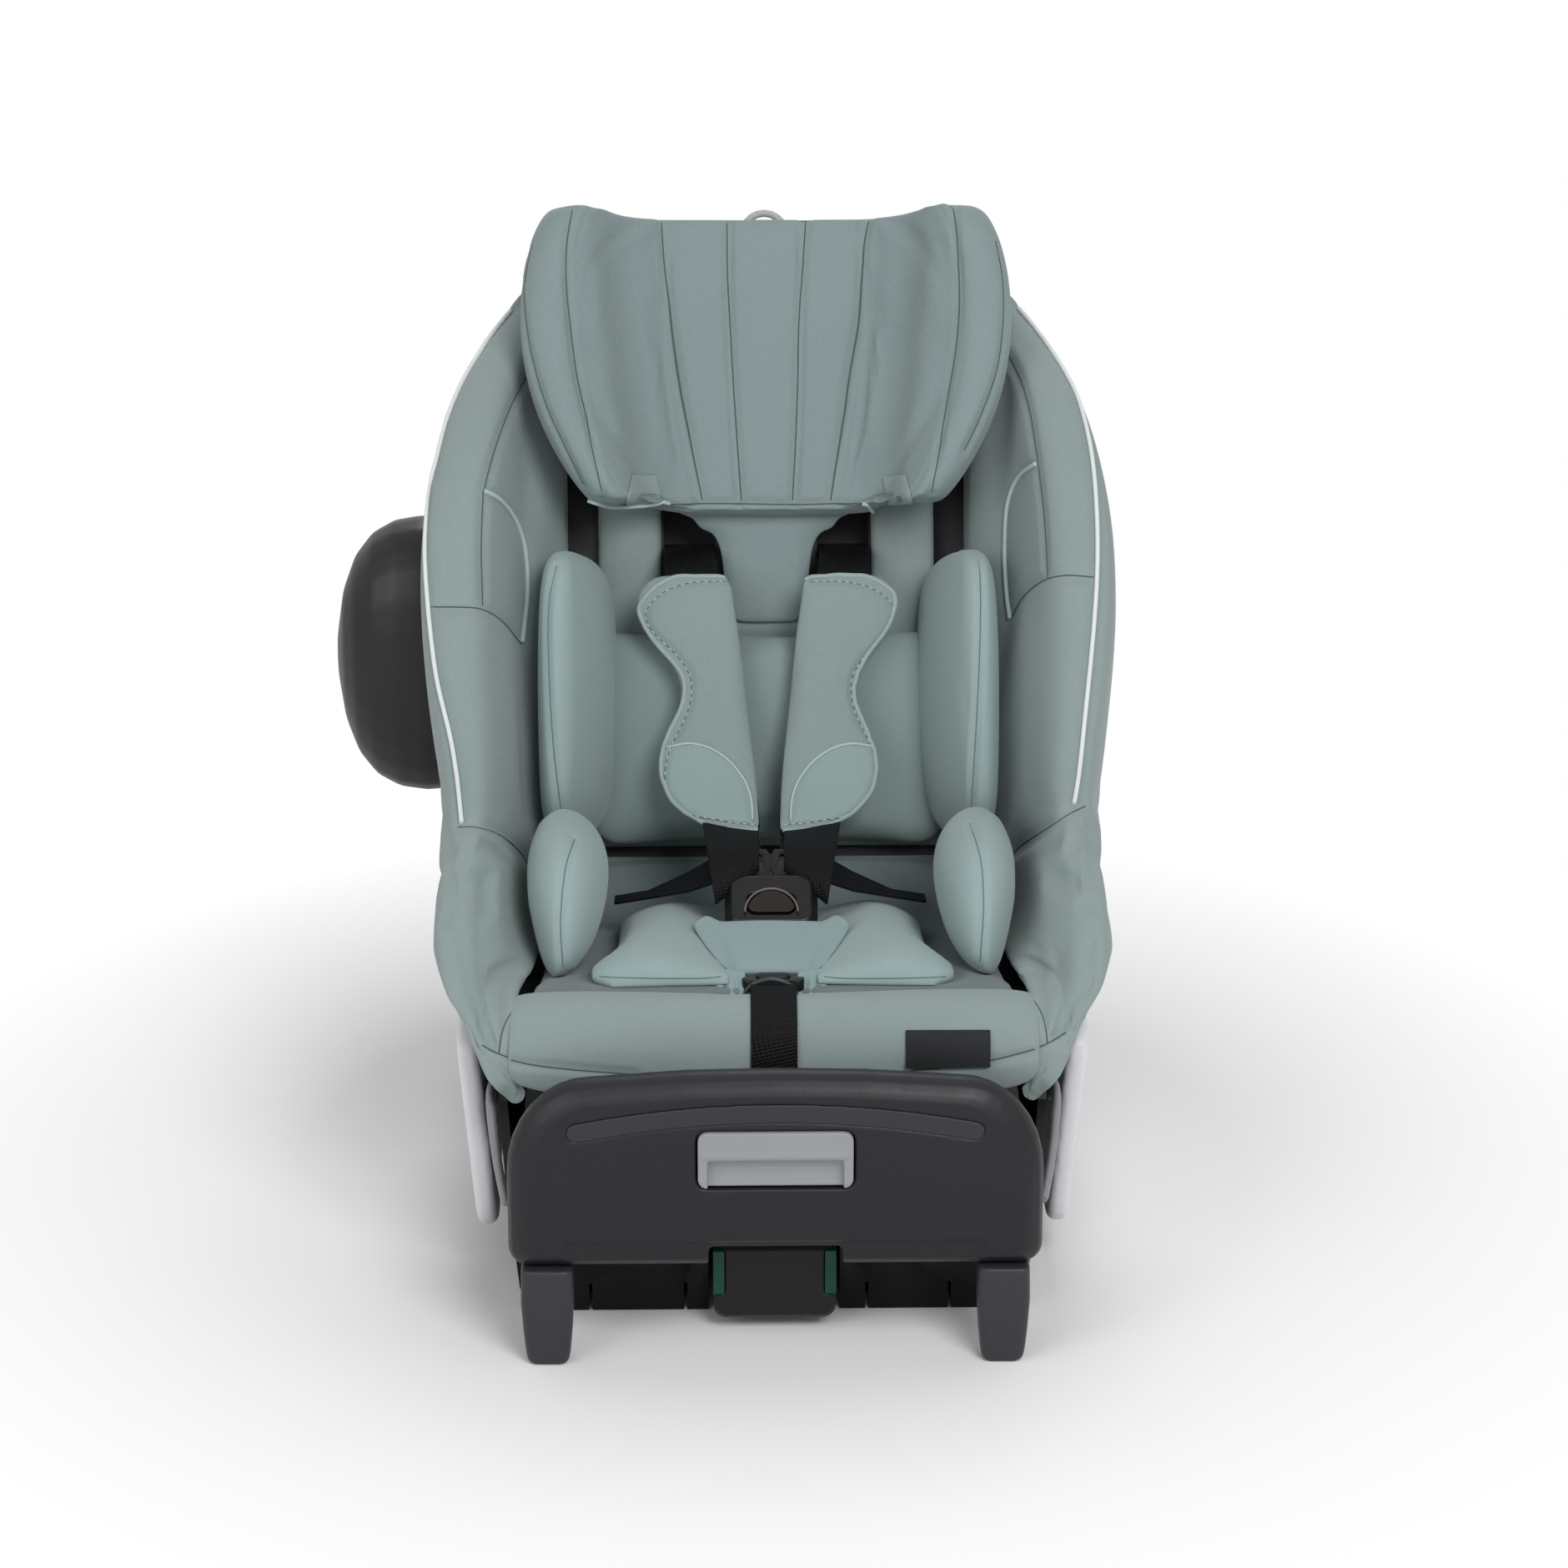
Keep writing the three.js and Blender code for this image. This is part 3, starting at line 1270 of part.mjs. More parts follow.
const padNormal = (i) => {
  const [a, b] = [padRows[Math.max(0, i - 1)].spot, padRows[Math.min(padRows.length - 1, i + 1)].spot];
  const along = b.clone().sub(a).normalize();
  return new THREE.Vector2(along.y, -along.x);
};
function padSolid(side) {
  const spread = evenly(5);
  const grid = (lift, inset) =>
    padRows.map(({ spot, inner, outer }, i) => {
      const v = (2 * i) / (padRows.length - 1) - 1;
      return spread.map((u) => {
        const x = mix(inner + inset, outer - inset, (u + 1) / 2);
        return inPlane(side * x, spot.clone().addScaledVector(padNormal(i), lift(u, v)));
      });
    });
  const domed = (u, v) => pads.thickness * (0.55 + 0.45 * swell(u) * swell(v));
  return slab(grid(domed, 0), grid(() => 0, fit));
}
for (const [name, side] of sides) part(`shoulder_pad_${name}`, padSolid(side), materials.pad, headrest);

const behindShell = seat.padding + seat.wall + fit;
const yokeOut = -behindShell - 4 * slip;

// The buckle leans back with its button up; its own X, Y and Z are its width, length and face
const buckleGroup = under(bucket);
buckleGroup.position.copy(panPoint(0, buckle.f, buckle.above));
buckleGroup.rotation.x = buckle.tilt;
const bladeX = (buckle.width - 2 * blade.width) / 6 + blade.width / 2;
const bladeZ = -blade.thickness / 2;
function bladeShape(grow) {
  const [w, h] = [blade.width + 2 * grow, blade.thickness + 2 * grow];
  return box(-w / 2, -blade.inside - grow, bladeZ - grow, w, blade.inside + overrun, h);
}
function buckleHousing() {
  const bevel = buckle.thickness / 4;
  const [w, l] = [buckle.width, buckle.length];
  const shape = roundedRectangle(-w / 2, -l / 2, w, l, buckle.corner);
  const block = extrude(shape, buckle.thickness - 2 * bevel, {
    bevelEnabled: true,
    bevelThickness: bevel,
    bevelSize: bevel,
    bevelOffset: -bevel,
    bevelSegments: 1,
  });
  block.translate(0, 0, bevel - buckle.thickness / 2);
  const mouths = sides.map(([, side]) => bladeShape(fit).translate(side * bladeX, buckle.length / 2, 0));
  return cut(block, buttonShape(fit, buckleButton.pocket, overrun), ...mouths);
}
function buttonShape(grow, deep, proud) {
  const [w, l] = [buckleButton.width + 2 * grow, buckleButton.length + 2 * grow];
  const shape = roundedRectangle(-w / 2, -l * 0.75, w, l, l / 3);
  return extrude(shape, deep + proud).translate(0, 0, buckle.thickness / 2 - deep);
}
// A tongue: its blade in the buckle's mouth, widening to the slot that the webbing loops through
function tongueSolid(side) {
  const w = blade.width / 2;
  const h = blade.length;
  const shape = polygon([
    [-w, -blade.inside],
    [w, -blade.inside],
    [w, 0],
    [w * 1.25, h * 0.35],
    [w * 1.25, h * 0.8],
    [w, h],
    [-w, h],
    [-w * 1.25, h * 0.8],
    [-w * 1.25, h * 0.35],
    [-w, 0],
  ]);
  const [slotW, slotH] = [blade.slotWidth, blade.slotHeight];
  shape.holes.push(roundedRectangle(-slotW / 2, h * 0.62, slotW, slotH, slotH / 3));
  const plateShape = extrude(shape, blade.thickness, { curveSegments: 3 });
  return plateShape.translate(side * bladeX, buckle.length / 2, bladeZ);
}
part("buckle_housing", buckleHousing(), materials.webbing, buckleGroup);
const button = buttonShape(0, buckleButton.thickness, buckleButton.proud);
part("buckle_button", button, materials.button, under(buckleGroup));
for (const [name, side] of sides) part(`tongue_${name}`, tongueSolid(side), materials.blade, buckleGroup);

// A place on the buckle: along its length from the middle, and out of its face
function buckleSpot(along, face) {
  const [c, s] = [Math.cos(buckle.tilt), Math.sin(buckle.tilt)];
  const moved = new THREE.Vector2(c * along - s * face, s * along + c * face);
  return panSpot(buckle.f, buckle.above).add(moved);
}
const tongueEnd = buckle.length / 2 + blade.length + slip;

// Shoulder webbing: from the tongue, along the pad's back, over its top, through the shell's slot
// and down to the yoke
const gatherShares = [0.45, 0.7, 0.9];
const overShares = [
  [1.02, 0.3],
  [1.06, 0.15],
  [1.085, 0],
  [1.1, -0.12],
];
function shoulderStrap(side) {
  const behindPad = strap.thickness / 2 + fit;
  const along = padRows
    .map(({ spot, webbingX }, i) => [
      side * webbingX,
      spot.clone().addScaledVector(padNormal(i), -behindPad),
    ])
    .toReversed();
  const over = overShares.map(([up, out]) => [
    side * strap.slotX,
    backSpot(up * pads.height, out * pads.reach),
  ]);
  const end = [yoke.bottom + yoke.height + strap.width / 2, yoke.bottom + yoke.height + fit].map((up) => [
    side * strap.slotX,
    backSpot(up, yokeOut - yoke.thickness / 2),
  ]);
  const stations = upright([[side * bladeX, buckleSpot(tongueEnd, 0)], ...along, ...over, ...end]);
  const gathered = stations.map(([spot, across], i) => [spot, across, gatherShares[i]]);
  return webbing(gathered, strap.width, strap.thickness);
}
// Lap webbing: from the tongue's outer edge down to the seat beside the hip, in shares of the way
// across, the way down and the twist
const hipStrapShares = [
  [0, 0, 0],
  [0.35, 0.5, 0.5],
  [0.7, 0.85, 1],
  [1, 1, 1],
];
function hipStrap(side) {
  const along = new THREE.Vector3(0, Math.cos(buckle.tilt), Math.sin(buckle.tilt));
  const flat = new THREE.Vector3(0, Math.cos(seat.panRise), -Math.sin(seat.panRise));
  const edge = bladeX + blade.width * 0.625 + slip;
  const [start, end] = [buckleSpot(tongueEnd - blade.length / 2, 0), panSpot(strap.hipF, strap.hipLift)];
  const stations = hipStrapShares.map(([out, down, twist]) => [
    inPlane(side * mix(edge, strap.hipX, out), start.clone().lerp(end, down)),
    along.clone().lerp(flat, twist).normalize(),
  ]);
  return webbing(stations, strap.hipWidth, strap.thickness);
}
for (const [name, side] of sides) {
  part(`shoulder_strap_${name}`, shoulderStrap(side), materials.webbing, bucket);
  part(`hip_strap_${name}`, hipStrap(side), materials.webbing, bucket);
}
const crotchRoute = [
  [0, panSpot(crotch.f, -seat.padding - seat.wall)],
  [0, panSpot(crotch.f, 0)],
  [0, panSpot(crotch.f - crotch.slot / 4, crotchPad.frontLift)],
  [0, buckleSpot(-buckle.length / 2 - fit - strap.thickness, -strap.thickness)],
  [0, buckleSpot(-buckle.length / 2 - fit, -strap.thickness)],
];
const crotchStrap = webbing(upright(crotchRoute), crotch.width, strap.thickness);
part("crotch_strap", crotchStrap, materials.webbing, bucket);

// The crotch pad lies over the buckle's lower end and down between the seat lobes
const crotchPadShares = [
  [0, 0.8],
  [0.05, 0.9],
  [0.15, 1],
  [0.25, 0.98],
  [0.55, 0.84],
  [0.85, 0.66],
  [0.96, 0.58],
  [1, 0.5],
];
const crotchCushion = cushion({
  rows: crotchPadShares.map(([along, wide]) => [
    along,
    -wide * crotchPad.halfWidth,
    wide * crotchPad.halfWidth,
  ]),
  columns: evenly(7),
  place: (x, along, lift) => {
    const ahead = mix(crotchPad.rear, crotchPad.front, along);
    return panPoint(x, ahead, mix(crotchPad.rearLift, crotchPad.frontLift, along) + lift);
  },
  edge: crotchPad.thickness / 2,
  crown: crotchPad.thickness / 2,
  draw: 0.02,
});
part("crotch_pad", crotchCushion, materials.insert, bucket);

// The adjuster in the front of the pan, its button, and the loose end over the front edge
const adjusterFrame = under(bucket);
adjusterFrame.position.copy(panPoint(0, adjusterF, 0));
adjusterFrame.rotation.x = -seat.panRise;
function adjusterHousing() {
  const [w, l] = [adjuster.width, adjuster.length];
  const outline = roundedRectangle(-w / 2, -l / 2, w, l, l / 4);
  const body = extrude(outline, adjuster.height + seat.padding - fit).translate(0, 0, fit - seat.padding);
  return cut(body, adjusterButton(fit, adjuster.height + adjuster.travel));
}
function adjusterButton(grow, deep) {
  const [w, l] = [adjuster.buttonWidth + 2 * grow, adjuster.buttonLength + 2 * grow];
  const top = adjuster.height + adjuster.travel / 2;
  const outline = roundedRectangle(-w / 2, -l / 2, w, l, l / 3);
  return extrude(outline, deep + (grow ? overrun : 0)).translate(0, 0, top - deep);
}
part("adjuster_housing", adjusterHousing(), materials.trim, adjusterFrame);
part("adjuster_button", adjusterButton(0, adjuster.height), materials.webbing, under(adjusterFrame));

// Something flat that lies on the front curl, following its crown
function onCurl(x, width, start, end, gap, thickness, steps) {
  const lift = (at) => seat.bolsterCrown * swell(at / seat.floorHalfWidth) + gap;
  const grid = (extra) =>
    evenly(steps, -start, -end).map((length) =>
      [0, 0.5, 1].map((u) => floorPoint(x + u * width, length, lift(x + u * width) + extra)),
    );
  return slab(grid(thickness), grid(0));
}
const tailStart = adjusterF + adjuster.length / 2 + slip;
const tailEnd = tailStart + tail.length;
const loose = onCurl(-tail.width / 2, tail.width, tailStart, tailEnd, tail.lift, strap.thickness, 9);
part("adjuster_strap", loose, materials.webbing, bucket);
const tagStart = seat.panLength + tag.beyond;
const label = onCurl(tag.x, tag.width, tagStart, tagStart + tag.length, fit, tag.thickness, 4);
part("front_tag", label, materials.tag, bucket);

// Behind the shell: the yoke plate that the shoulder webbing ends on, and the webbing from it
// to the adjuster
function yokeSolid() {
  const { halfWidth: w, height: h } = yoke;
  const shape = polygon([
    [-w, h],
    [-w * 0.9, h * 0.55],
    [-w * 0.35, 0],
    [w * 0.35, 0],
    [w * 0.9, h * 0.55],
    [w, h],
  ]);
  const at = backSpot(yoke.bottom, yokeOut);
  return extrudeY(shape, yoke.thickness, yoke.thickness).rotateX(-seat.backLean).translate(0, at.x, at.y);
}
part("harness_yoke", yokeSolid(), materials.steel, bucket);
const rearOut = -behindShell - strap.thickness / 2 - slip;
const rearLengths = [
  yoke.bottom - fit,
  rearCover.bottom,
  ...evenly(9, creaseTangent, -creaseTangent),
  ...evenly(3, -creaseTangent, adjuster.length / 2 - adjusterF).slice(1),
];
const rearRoute = rearLengths.map((length) => [0, floorSpot(length, rearOut)]);
const rearStrap = webbing(upright(rearRoute), tail.width, strap.thickness);
part("yoke_strap", rearStrap, materials.webbing, bucket);

// Rear cover: a shallow tray over the slots, its rims on the shell
const trayShares = [
  [1, 0],
  [0.9, 0],
  [0.8, 1],
  [0, 1],
];
function rearCoverSolid() {
  const line = [...trayShares.slice(0, -1).map(([x, deep]) => [-x, deep]), ...trayShares.toReversed()];
  const rows = evenly(3, rearCover.top, rearCover.bottom);
  const { halfWidth, depth } = rearCover;
  const face = (extra) =>
    rows.map((up) =>
      line.map(([x, deep]) => backPoint(x * halfWidth, up, -behindShell - deep * depth - extra)),
    );
  return slab(face(0), face(rearCover.wall));
}
part("rear_cover", rearCoverSolid(), materials.shell, bucket);

// Newborn insert

const insertRowShares = [
  [0, 0.82],
  [0.03, 0.93],
  [0.09, 1],
  [0.17, 1],
  [0.25, 1],
  [0.5, 1],
  [0.75, 1],
  [0.92, 0.98],
  [0.98, 0.92],
  [1, 0.8],
];
const insertColumnShares = [-1, -0.9, -0.65, -0.4, -0.22, -0.1, 0.1, 0.22, 0.4, 0.65, 0.9, 1];
const backInsert = cushion({
  rows: insertRowShares.map(([along, wide]) => [
    mix(insert.bottom, insert.top, along),
    -wide * insert.halfWidth,
    wide * insert.halfWidth,
  ]),
  columns: insertColumnShares,
  place: (x, up, lift) => backPoint(x, up, fit + lift),
  edge: insert.edge,
  crown: insert.crown,
  draw: 0.04,
  channels: [-0.22, 0.22],
  sink: insert.sink,
});
part("insert_back", backInsert, materials.insert, bucket);

// Side pillows stand between the back and the wings: a section of [across, out] shares,
// and rows of [height, size, shift outwards]
const pillowSectionShares = [
  [-0.8, -1],
  [-0.15, -1],
  [0.35, -0.6],
  [0.65, -0.1],
  [0.78, 0.45],
  [0.76, 0.8],
  [0.55, 0.98],
  [0.28, 1],
  [0.02, 0.88],
  [-0.06, 0.77],
  [-0.35, 0.42],
  [-0.66, -0.1],
  [-0.86, -0.6],
  [-0.9, -0.88],
];
const pillowRowShares = [
  [0, 0.3, 0.2],
  [0.025, 0.55, 0.17],
  [0.09, 0.8, 0.09],
  [0.2, 0.97, 0],
  [0.45, 1, 0],
  [0.72, 1, 0],
  [0.88, 0.93, 0],
  [0.955, 0.76, 0.03],
  [0.99, 0.5, 0.06],
  [1, 0.28, 0.08],
];
function pillowSolid(side) {
  const rings = pillowRowShares.map(([along, size, shift]) =>
    pillowSectionShares.map(([x, out]) =>
      backPoint(
        side * (pillow.x + (x * size + shift) * pillow.halfWidth),
        mix(pillow.bottom, pillow.top, along),
        pillow.out + fit + out * size * pillow.halfReach,
      ),
    ),
  );
  return loft(rings);
}
for (const [name, side] of sides) {
  part(`insert_pillow_${name}`, pillowSolid(side), materials.insert, bucket);
}

// Hip pillows stand on the pan: rows of [height, half width, middle along the pan, half length,
// shift outwards]
const hipRowShares = [
  [0, 0.25, 0.5, 0.28, 0.15],
  [0.07, 0.48, 0.33, 0.58, 0.1],
  [0.2, 0.7, 0.2, 0.77, 0.02],
  [0.42, 0.9, 0.1, 0.9, 0],
  [0.65, 1, 0, 0.92, 0],
  [0.83, 0.88, -0.1, 0.86, 0.02],
  [0.95, 0.6, -0.18, 0.68, 0.08],
  [1, 0.28, -0.22, 0.42, 0.12],
];
function hipSolid(side) {
  const rings = hipRowShares.map(([along, wide, middle, long, shift]) =>
    evenly(13, 0, 2 * Math.PI)
      .slice(1)
      .map((a) =>
        panPoint(
          side * (hip.x + (Math.cos(a) * wide + shift) * hip.halfWidth),
          hip.f + (middle + Math.sin(a) * long) * hip.halfLength,
          fit + along * hip.height,
        ),
      ),
  );
  return loft(rings);
}
for (const [name, side] of sides) part(`insert_hip_${name}`, hipSolid(side), materials.insert, bucket);

// Seat lobes: two soft humps joined behind the crotch notch
const lobeRowShares = [
  [0, 0.66],
  [0.04, 0.76],
  [0.2, 0.83],
  [0.5, 0.84],
  [0.72, 0.86],
  [0.87, 0.97],
  [0.95, 0.96],
  [1, 0.86],
];
const lobeColumnShares = [-1, -0.92, -0.78, -0.64, -0.45, -0.27, 0, 0.27, 0.45, 0.64, 0.78, 0.92, 1];
function lobesSolid() {
  const hump = (u) => Math.max(0, 1 - ((Math.abs(u) - lobes.crestShare) / lobes.spreadShare) ** 2);
  const grid = (lift) =>
    lobeRowShares.map(([along, wide]) => {
      const ahead = mix(lobes.rear, lobesFront, along);
      return lobeColumnShares.map((u) =>
        panPoint(u * wide * lobes.halfWidth, ahead, fit + lift(u, 2 * along - 1)),
      );
    });
  const body = slab(
    grid((u, v) => lobes.edge + lobes.crown * hump(u) * swell(v)),
    grid(() => 0),
  );
  const length = lobesFront - lobes.notchRear + overrun;
  const height = 2 * (lobes.edge + lobes.crown);
  const notch = box(-lobes.notchHalfWidth, -length, -height / 2, 2 * lobes.notchHalfWidth, length, height);
  const at = panSpot(lobes.notchRear, 0);
  return cut(body, notch.rotateX(-seat.panRise).translate(0, at.x, at.y));
}
part("insert_seat", lobesSolid(), materials.insert, bucket);

export default object;
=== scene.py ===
import json
import math

import bpy
from mathutils import Matrix, Vector
from mathutils.bvhtree import BVHTree
from mathutils.kdtree import KDTree

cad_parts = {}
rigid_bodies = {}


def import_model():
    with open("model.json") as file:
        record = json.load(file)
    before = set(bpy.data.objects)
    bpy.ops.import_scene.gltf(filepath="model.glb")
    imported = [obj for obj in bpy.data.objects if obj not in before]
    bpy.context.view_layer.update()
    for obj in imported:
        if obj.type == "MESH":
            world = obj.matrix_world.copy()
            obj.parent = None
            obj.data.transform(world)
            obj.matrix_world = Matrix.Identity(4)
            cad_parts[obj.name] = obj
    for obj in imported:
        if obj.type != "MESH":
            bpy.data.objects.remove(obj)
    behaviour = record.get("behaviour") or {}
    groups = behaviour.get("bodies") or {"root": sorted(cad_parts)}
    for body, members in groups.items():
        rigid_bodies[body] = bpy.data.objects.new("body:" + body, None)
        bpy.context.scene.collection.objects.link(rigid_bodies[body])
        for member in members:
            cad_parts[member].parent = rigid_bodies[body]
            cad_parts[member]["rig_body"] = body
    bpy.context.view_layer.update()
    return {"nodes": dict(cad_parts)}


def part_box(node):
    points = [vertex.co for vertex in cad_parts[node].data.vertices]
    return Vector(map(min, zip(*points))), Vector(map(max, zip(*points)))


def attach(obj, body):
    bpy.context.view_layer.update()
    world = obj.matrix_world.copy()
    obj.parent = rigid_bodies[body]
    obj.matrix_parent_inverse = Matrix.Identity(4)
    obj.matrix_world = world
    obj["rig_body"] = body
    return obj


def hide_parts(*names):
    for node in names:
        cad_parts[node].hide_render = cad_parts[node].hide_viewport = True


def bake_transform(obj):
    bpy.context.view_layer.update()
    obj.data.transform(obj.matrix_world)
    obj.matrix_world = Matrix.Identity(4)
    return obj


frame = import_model()
nodes = frame["nodes"]
bodyOf = {name: node["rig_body"] for name, node in nodes.items()}
print("frame loaded:", len(nodes), "parts")

viewpoint = {
    "target": (0.0093, -0.290, 0.2703),
    "azimuth": -0.9,        # degrees, 0 looks along +Y
    "elevation": 20.5,
    "distance": 3.0,
    "frame": 1880,          # pixels along each side of the photograph
    "focal": 5640,          # focal length in those pixels
    "sensor": 36,           # mm
    "far": 20,              # metres that the camera sees
    "middle": 925,          # the pixel column that left and right are mirrored about
    "heart": (926, 800),    # a pixel that misses its piece slides towards this one
    "slide": 30,            # so far at most, in pixels
    "hop": 2,               # and by this much at a time
    "step": 3,              # pixels between the spots of a traced line
    "jump": 0.03,           # metres: a spot farther than this from the last one is left out
}


def cameraAxes():
    turn, rise = (math.radians(viewpoint[k]) for k in ("azimuth", "elevation"))
    back = Vector((math.sin(turn) * math.cos(rise), -math.cos(turn) * math.cos(rise), math.sin(rise)))
    right = Vector((math.cos(turn), math.sin(turn), 0))
    return back, right, back.cross(right)


def addCamera():
    back = cameraAxes()[0]
    place = Vector(viewpoint["target"]) + back * viewpoint["distance"]
    bpy.ops.object.camera_add(location=place, rotation=back.to_track_quat("Z", "Y").to_euler())
    camera = bpy.context.object
    camera.data.sensor_width = viewpoint["sensor"]
    camera.data.lens = viewpoint["sensor"] * viewpoint["focal"] / viewpoint["frame"]
    camera.data.clip_end = viewpoint["far"]
    bpy.context.scene.camera = camera


def pixelRay(x, y):
    back, right, up = cameraAxes()
    half = viewpoint["frame"] / 2
    way = -back + right * ((x - half) / viewpoint["focal"]) + up * ((half - y) / viewpoint["focal"])
    return Vector(viewpoint["target"]) + back * viewpoint["distance"], way.normalized()


addCamera()


class Wire:                                   # one value inside a material
    def __init__(self, tree, socket=None):
        self.tree = tree
        self.socket = socket

    def node(self, kind, settings=None, inputs=None, output=0):
        made = self.tree.nodes.new("ShaderNode" + kind)
        for name, value in (settings or {}).items():
            setattr(made, name, value)
        for name, value in (inputs or {}).items():
            if isinstance(value, Wire):
                self.tree.links.new(value.socket, made.inputs[name])
            else:
                made.inputs[name].default_value = value
        return Wire(self.tree, made.outputs[output])

    def maths(self, operation, first, second=0.0):
        return self.node("Math", {"operation": operation}, {0: first, 1: second})

    def __add__(self, other):
        return self.maths("ADD", self, other)

    def __sub__(self, other):
        return self.maths("SUBTRACT", self, other)

    def __rsub__(self, other):
        return self.maths("SUBTRACT", other, self)

    def __mul__(self, other):
        return self.maths("MULTIPLY", self, other)

    def __truediv__(self, other):
        return self.maths("DIVIDE", self, other)

    __radd__ = __add__
    __rmul__ = __mul__

    def sine(self):
        return self.maths("SINE", self)

    def grain(self, scale, detail=2.0, rough=0.5):
        return self.node("TexNoise", None, {"Vector": self, "Scale": scale, "Detail": detail, "Roughness": rough})

    def mixed(self, first, second):           # two colours by this value
        return self.node("Mix", {"data_type": "RGBA"}, {0: self, 6: first, 7: second}, 2)

    def bump(self, distance, strength=1.0, over=None):
        inputs = {"Height": self, "Distance": distance, "Strength": strength}
        if over is not None:
            inputs["Normal"] = over
        return self.node("Bump", None, inputs)


def shade(red, green, blue):                  # screen values 0 to 255 to a linear colour
    linear = [((c / 255 + 0.055) / 1.055) ** 2.4 if c > 10 else c / 255 / 12.92 for c in (red, green, blue)]
    return (*linear, 1.0)


def toned(colour, factor):
    return (*[min(1.0, c * factor) for c in colour[:3]], 1.0)


def startFinish(name, **constants):
    material = bpy.data.materials.new(name)
    material.use_nodes = True
    tree = material.node_tree
    shader = next(n for n in tree.nodes if n.type == "BSDF_PRINCIPLED")
    for socket, value in constants.items():
        shader.inputs[socket.replace("_", " ")].default_value = value
    place = Wire(tree).node("TexCoord", None, None, "Object")
    return material, shader, place


def wireUp(shader, **links):
    for socket, value in links.items():
        value.tree.links.new(value.socket, shader.inputs[socket.replace("_", " ")])


def lattice(place, pitch, turn=(0.35, 0.2, 0.78)):   # threads crossing in all three directions
    spread = 2 * math.pi / pitch
    turned = place.node("Mapping", None, {"Vector": place, "Rotation": turn, "Scale": (spread,) * 3})
    parts = [turned.node("SeparateXYZ", None, {0: turned}, k) for k in range(3)]
    return (parts[0].sine() + parts[1].sine() + parts[2].sine()) / 3


knit = {
    # how much each pattern changes a cloth's colour
    "threads": 0.12, "flecks": 0.6, "weft": 0.45, "warp": 0.3, "cloud": 0.55, "middle": 0.55,
    # each pattern's scale, detail and roughness
    "fleckGrain": (520, 3.0, 0.7), "cloudGrain": (9,), "foldGrain": (34, 2.0, 0.45), "streakGrain": (1.0, 2.0),
    "weftScale": (60, 900, 900), "warpScale": (900, 60, 60),
    "sheenRough": 0.5, "specular": 0.25, "roughDrift": 0.18,
    "foldBump": 0.6, "threadBump": 0.4, "threadDepth": 0.12,   # the depth as a share of the threads' pitch
}


def streaks(place, scale, grain, detail, rough=0.6):   # grain drawn out in one direction
    return place.node("Mapping", None, {"Vector": place, "Scale": scale}).grain(grain, detail, rough)


def clothFinish(name, colour, pitch=0.0015, heather=0.1, roughness=0.85, sheen=0.2, crease=0.0006):
    material, shader, place = startFinish(name, Sheen_Weight=sheen, Sheen_Roughness=knit["sheenRough"],
                                          Specular_IOR_Level=knit["specular"])
    threads = lattice(place, pitch)
    flecks = place.grain(*knit["fleckGrain"])
    cloud = place.grain(*knit["cloudGrain"])
    folds = place.grain(*knit["foldGrain"])
    weft = streaks(place, knit["weftScale"], *knit["streakGrain"])
    warp = streaks(place, knit["warpScale"], *knit["streakGrain"])
    tone = (threads * knit["threads"] + flecks * knit["flecks"] + weft * knit["weft"] + warp * knit["warp"]
            + cloud * knit["cloud"] - knit["middle"])
    colours = tone.mixed(toned(colour, 1 - heather), toned(colour, 1 + heather))
    rough = flecks * knit["roughDrift"] + (roughness - knit["roughDrift"] / 2)
    soft = folds.bump(crease, knit["foldBump"])
    weave = threads.bump(pitch * knit["threadDepth"], knit["threadBump"], soft)
    wireUp(shader, Base_Color=colours, Roughness=rough, Normal=weave)
    return material


belt = {
    "pitch": 0.0021, "fleckGrain": (900, 2.0, 0.6), "ribs": 0.5, "flecks": 0.7, "base": 0.15,
    "dark": 0.6, "light": 1.7, "rough": 0.5, "roughDrift": 0.2, "specular": 0.15, "bump": (0.0005, 0.7),
}


def webFinish(name, colour):                  # tightly woven belt with ribs
    material, shader, place = startFinish(name, Specular_IOR_Level=belt["specular"])
    ribs = lattice(place, belt["pitch"])
    flecks = place.grain(*belt["fleckGrain"])
    tone = ribs * belt["ribs"] + flecks * belt["flecks"] + belt["base"]
    wireUp(shader, Base_Color=tone.mixed(toned(colour, belt["dark"]), toned(colour, belt["light"])),
           Roughness=flecks * belt["roughDrift"] + belt["rough"], Normal=ribs.bump(*belt["bump"]))
    return material


casting = {                                   # moulded plastic
    "pebbleGrain": (2.0, 0.55), "cloudGrain": (14, 3.0), "scuffScale": (60, 60, 9), "scuffGrain": (3.0, 4.0),
    "cloud": 0.7, "pebbles": 0.3, "scuffRough": 0.16, "cloudRough": 0.08, "bump": 0.6, "specular": 0.35,
}


def plasticFinish(name, colour, roughness=0.45, grain=0.00012, scale=900, drift=0.08):
    material, shader, place = startFinish(name, Specular_IOR_Level=casting["specular"])
    pebble = place.grain(scale, *casting["pebbleGrain"])
    cloud = place.grain(*casting["cloudGrain"])
    scuff = streaks(place, casting["scuffScale"], *casting["scuffGrain"])
    tone = cloud * casting["cloud"] + pebble * casting["pebbles"]
    drifts = (casting["scuffRough"], casting["cloudRough"])
    rough = scuff * drifts[0] + cloud * drifts[1] + (roughness - sum(drifts) / 2)
    wireUp(shader, Base_Color=tone.mixed(toned(colour, 1 - drift), toned(colour, 1 + drift)), Roughness=rough,
           Normal=pebble.bump(grain, casting["bump"]))
    return material


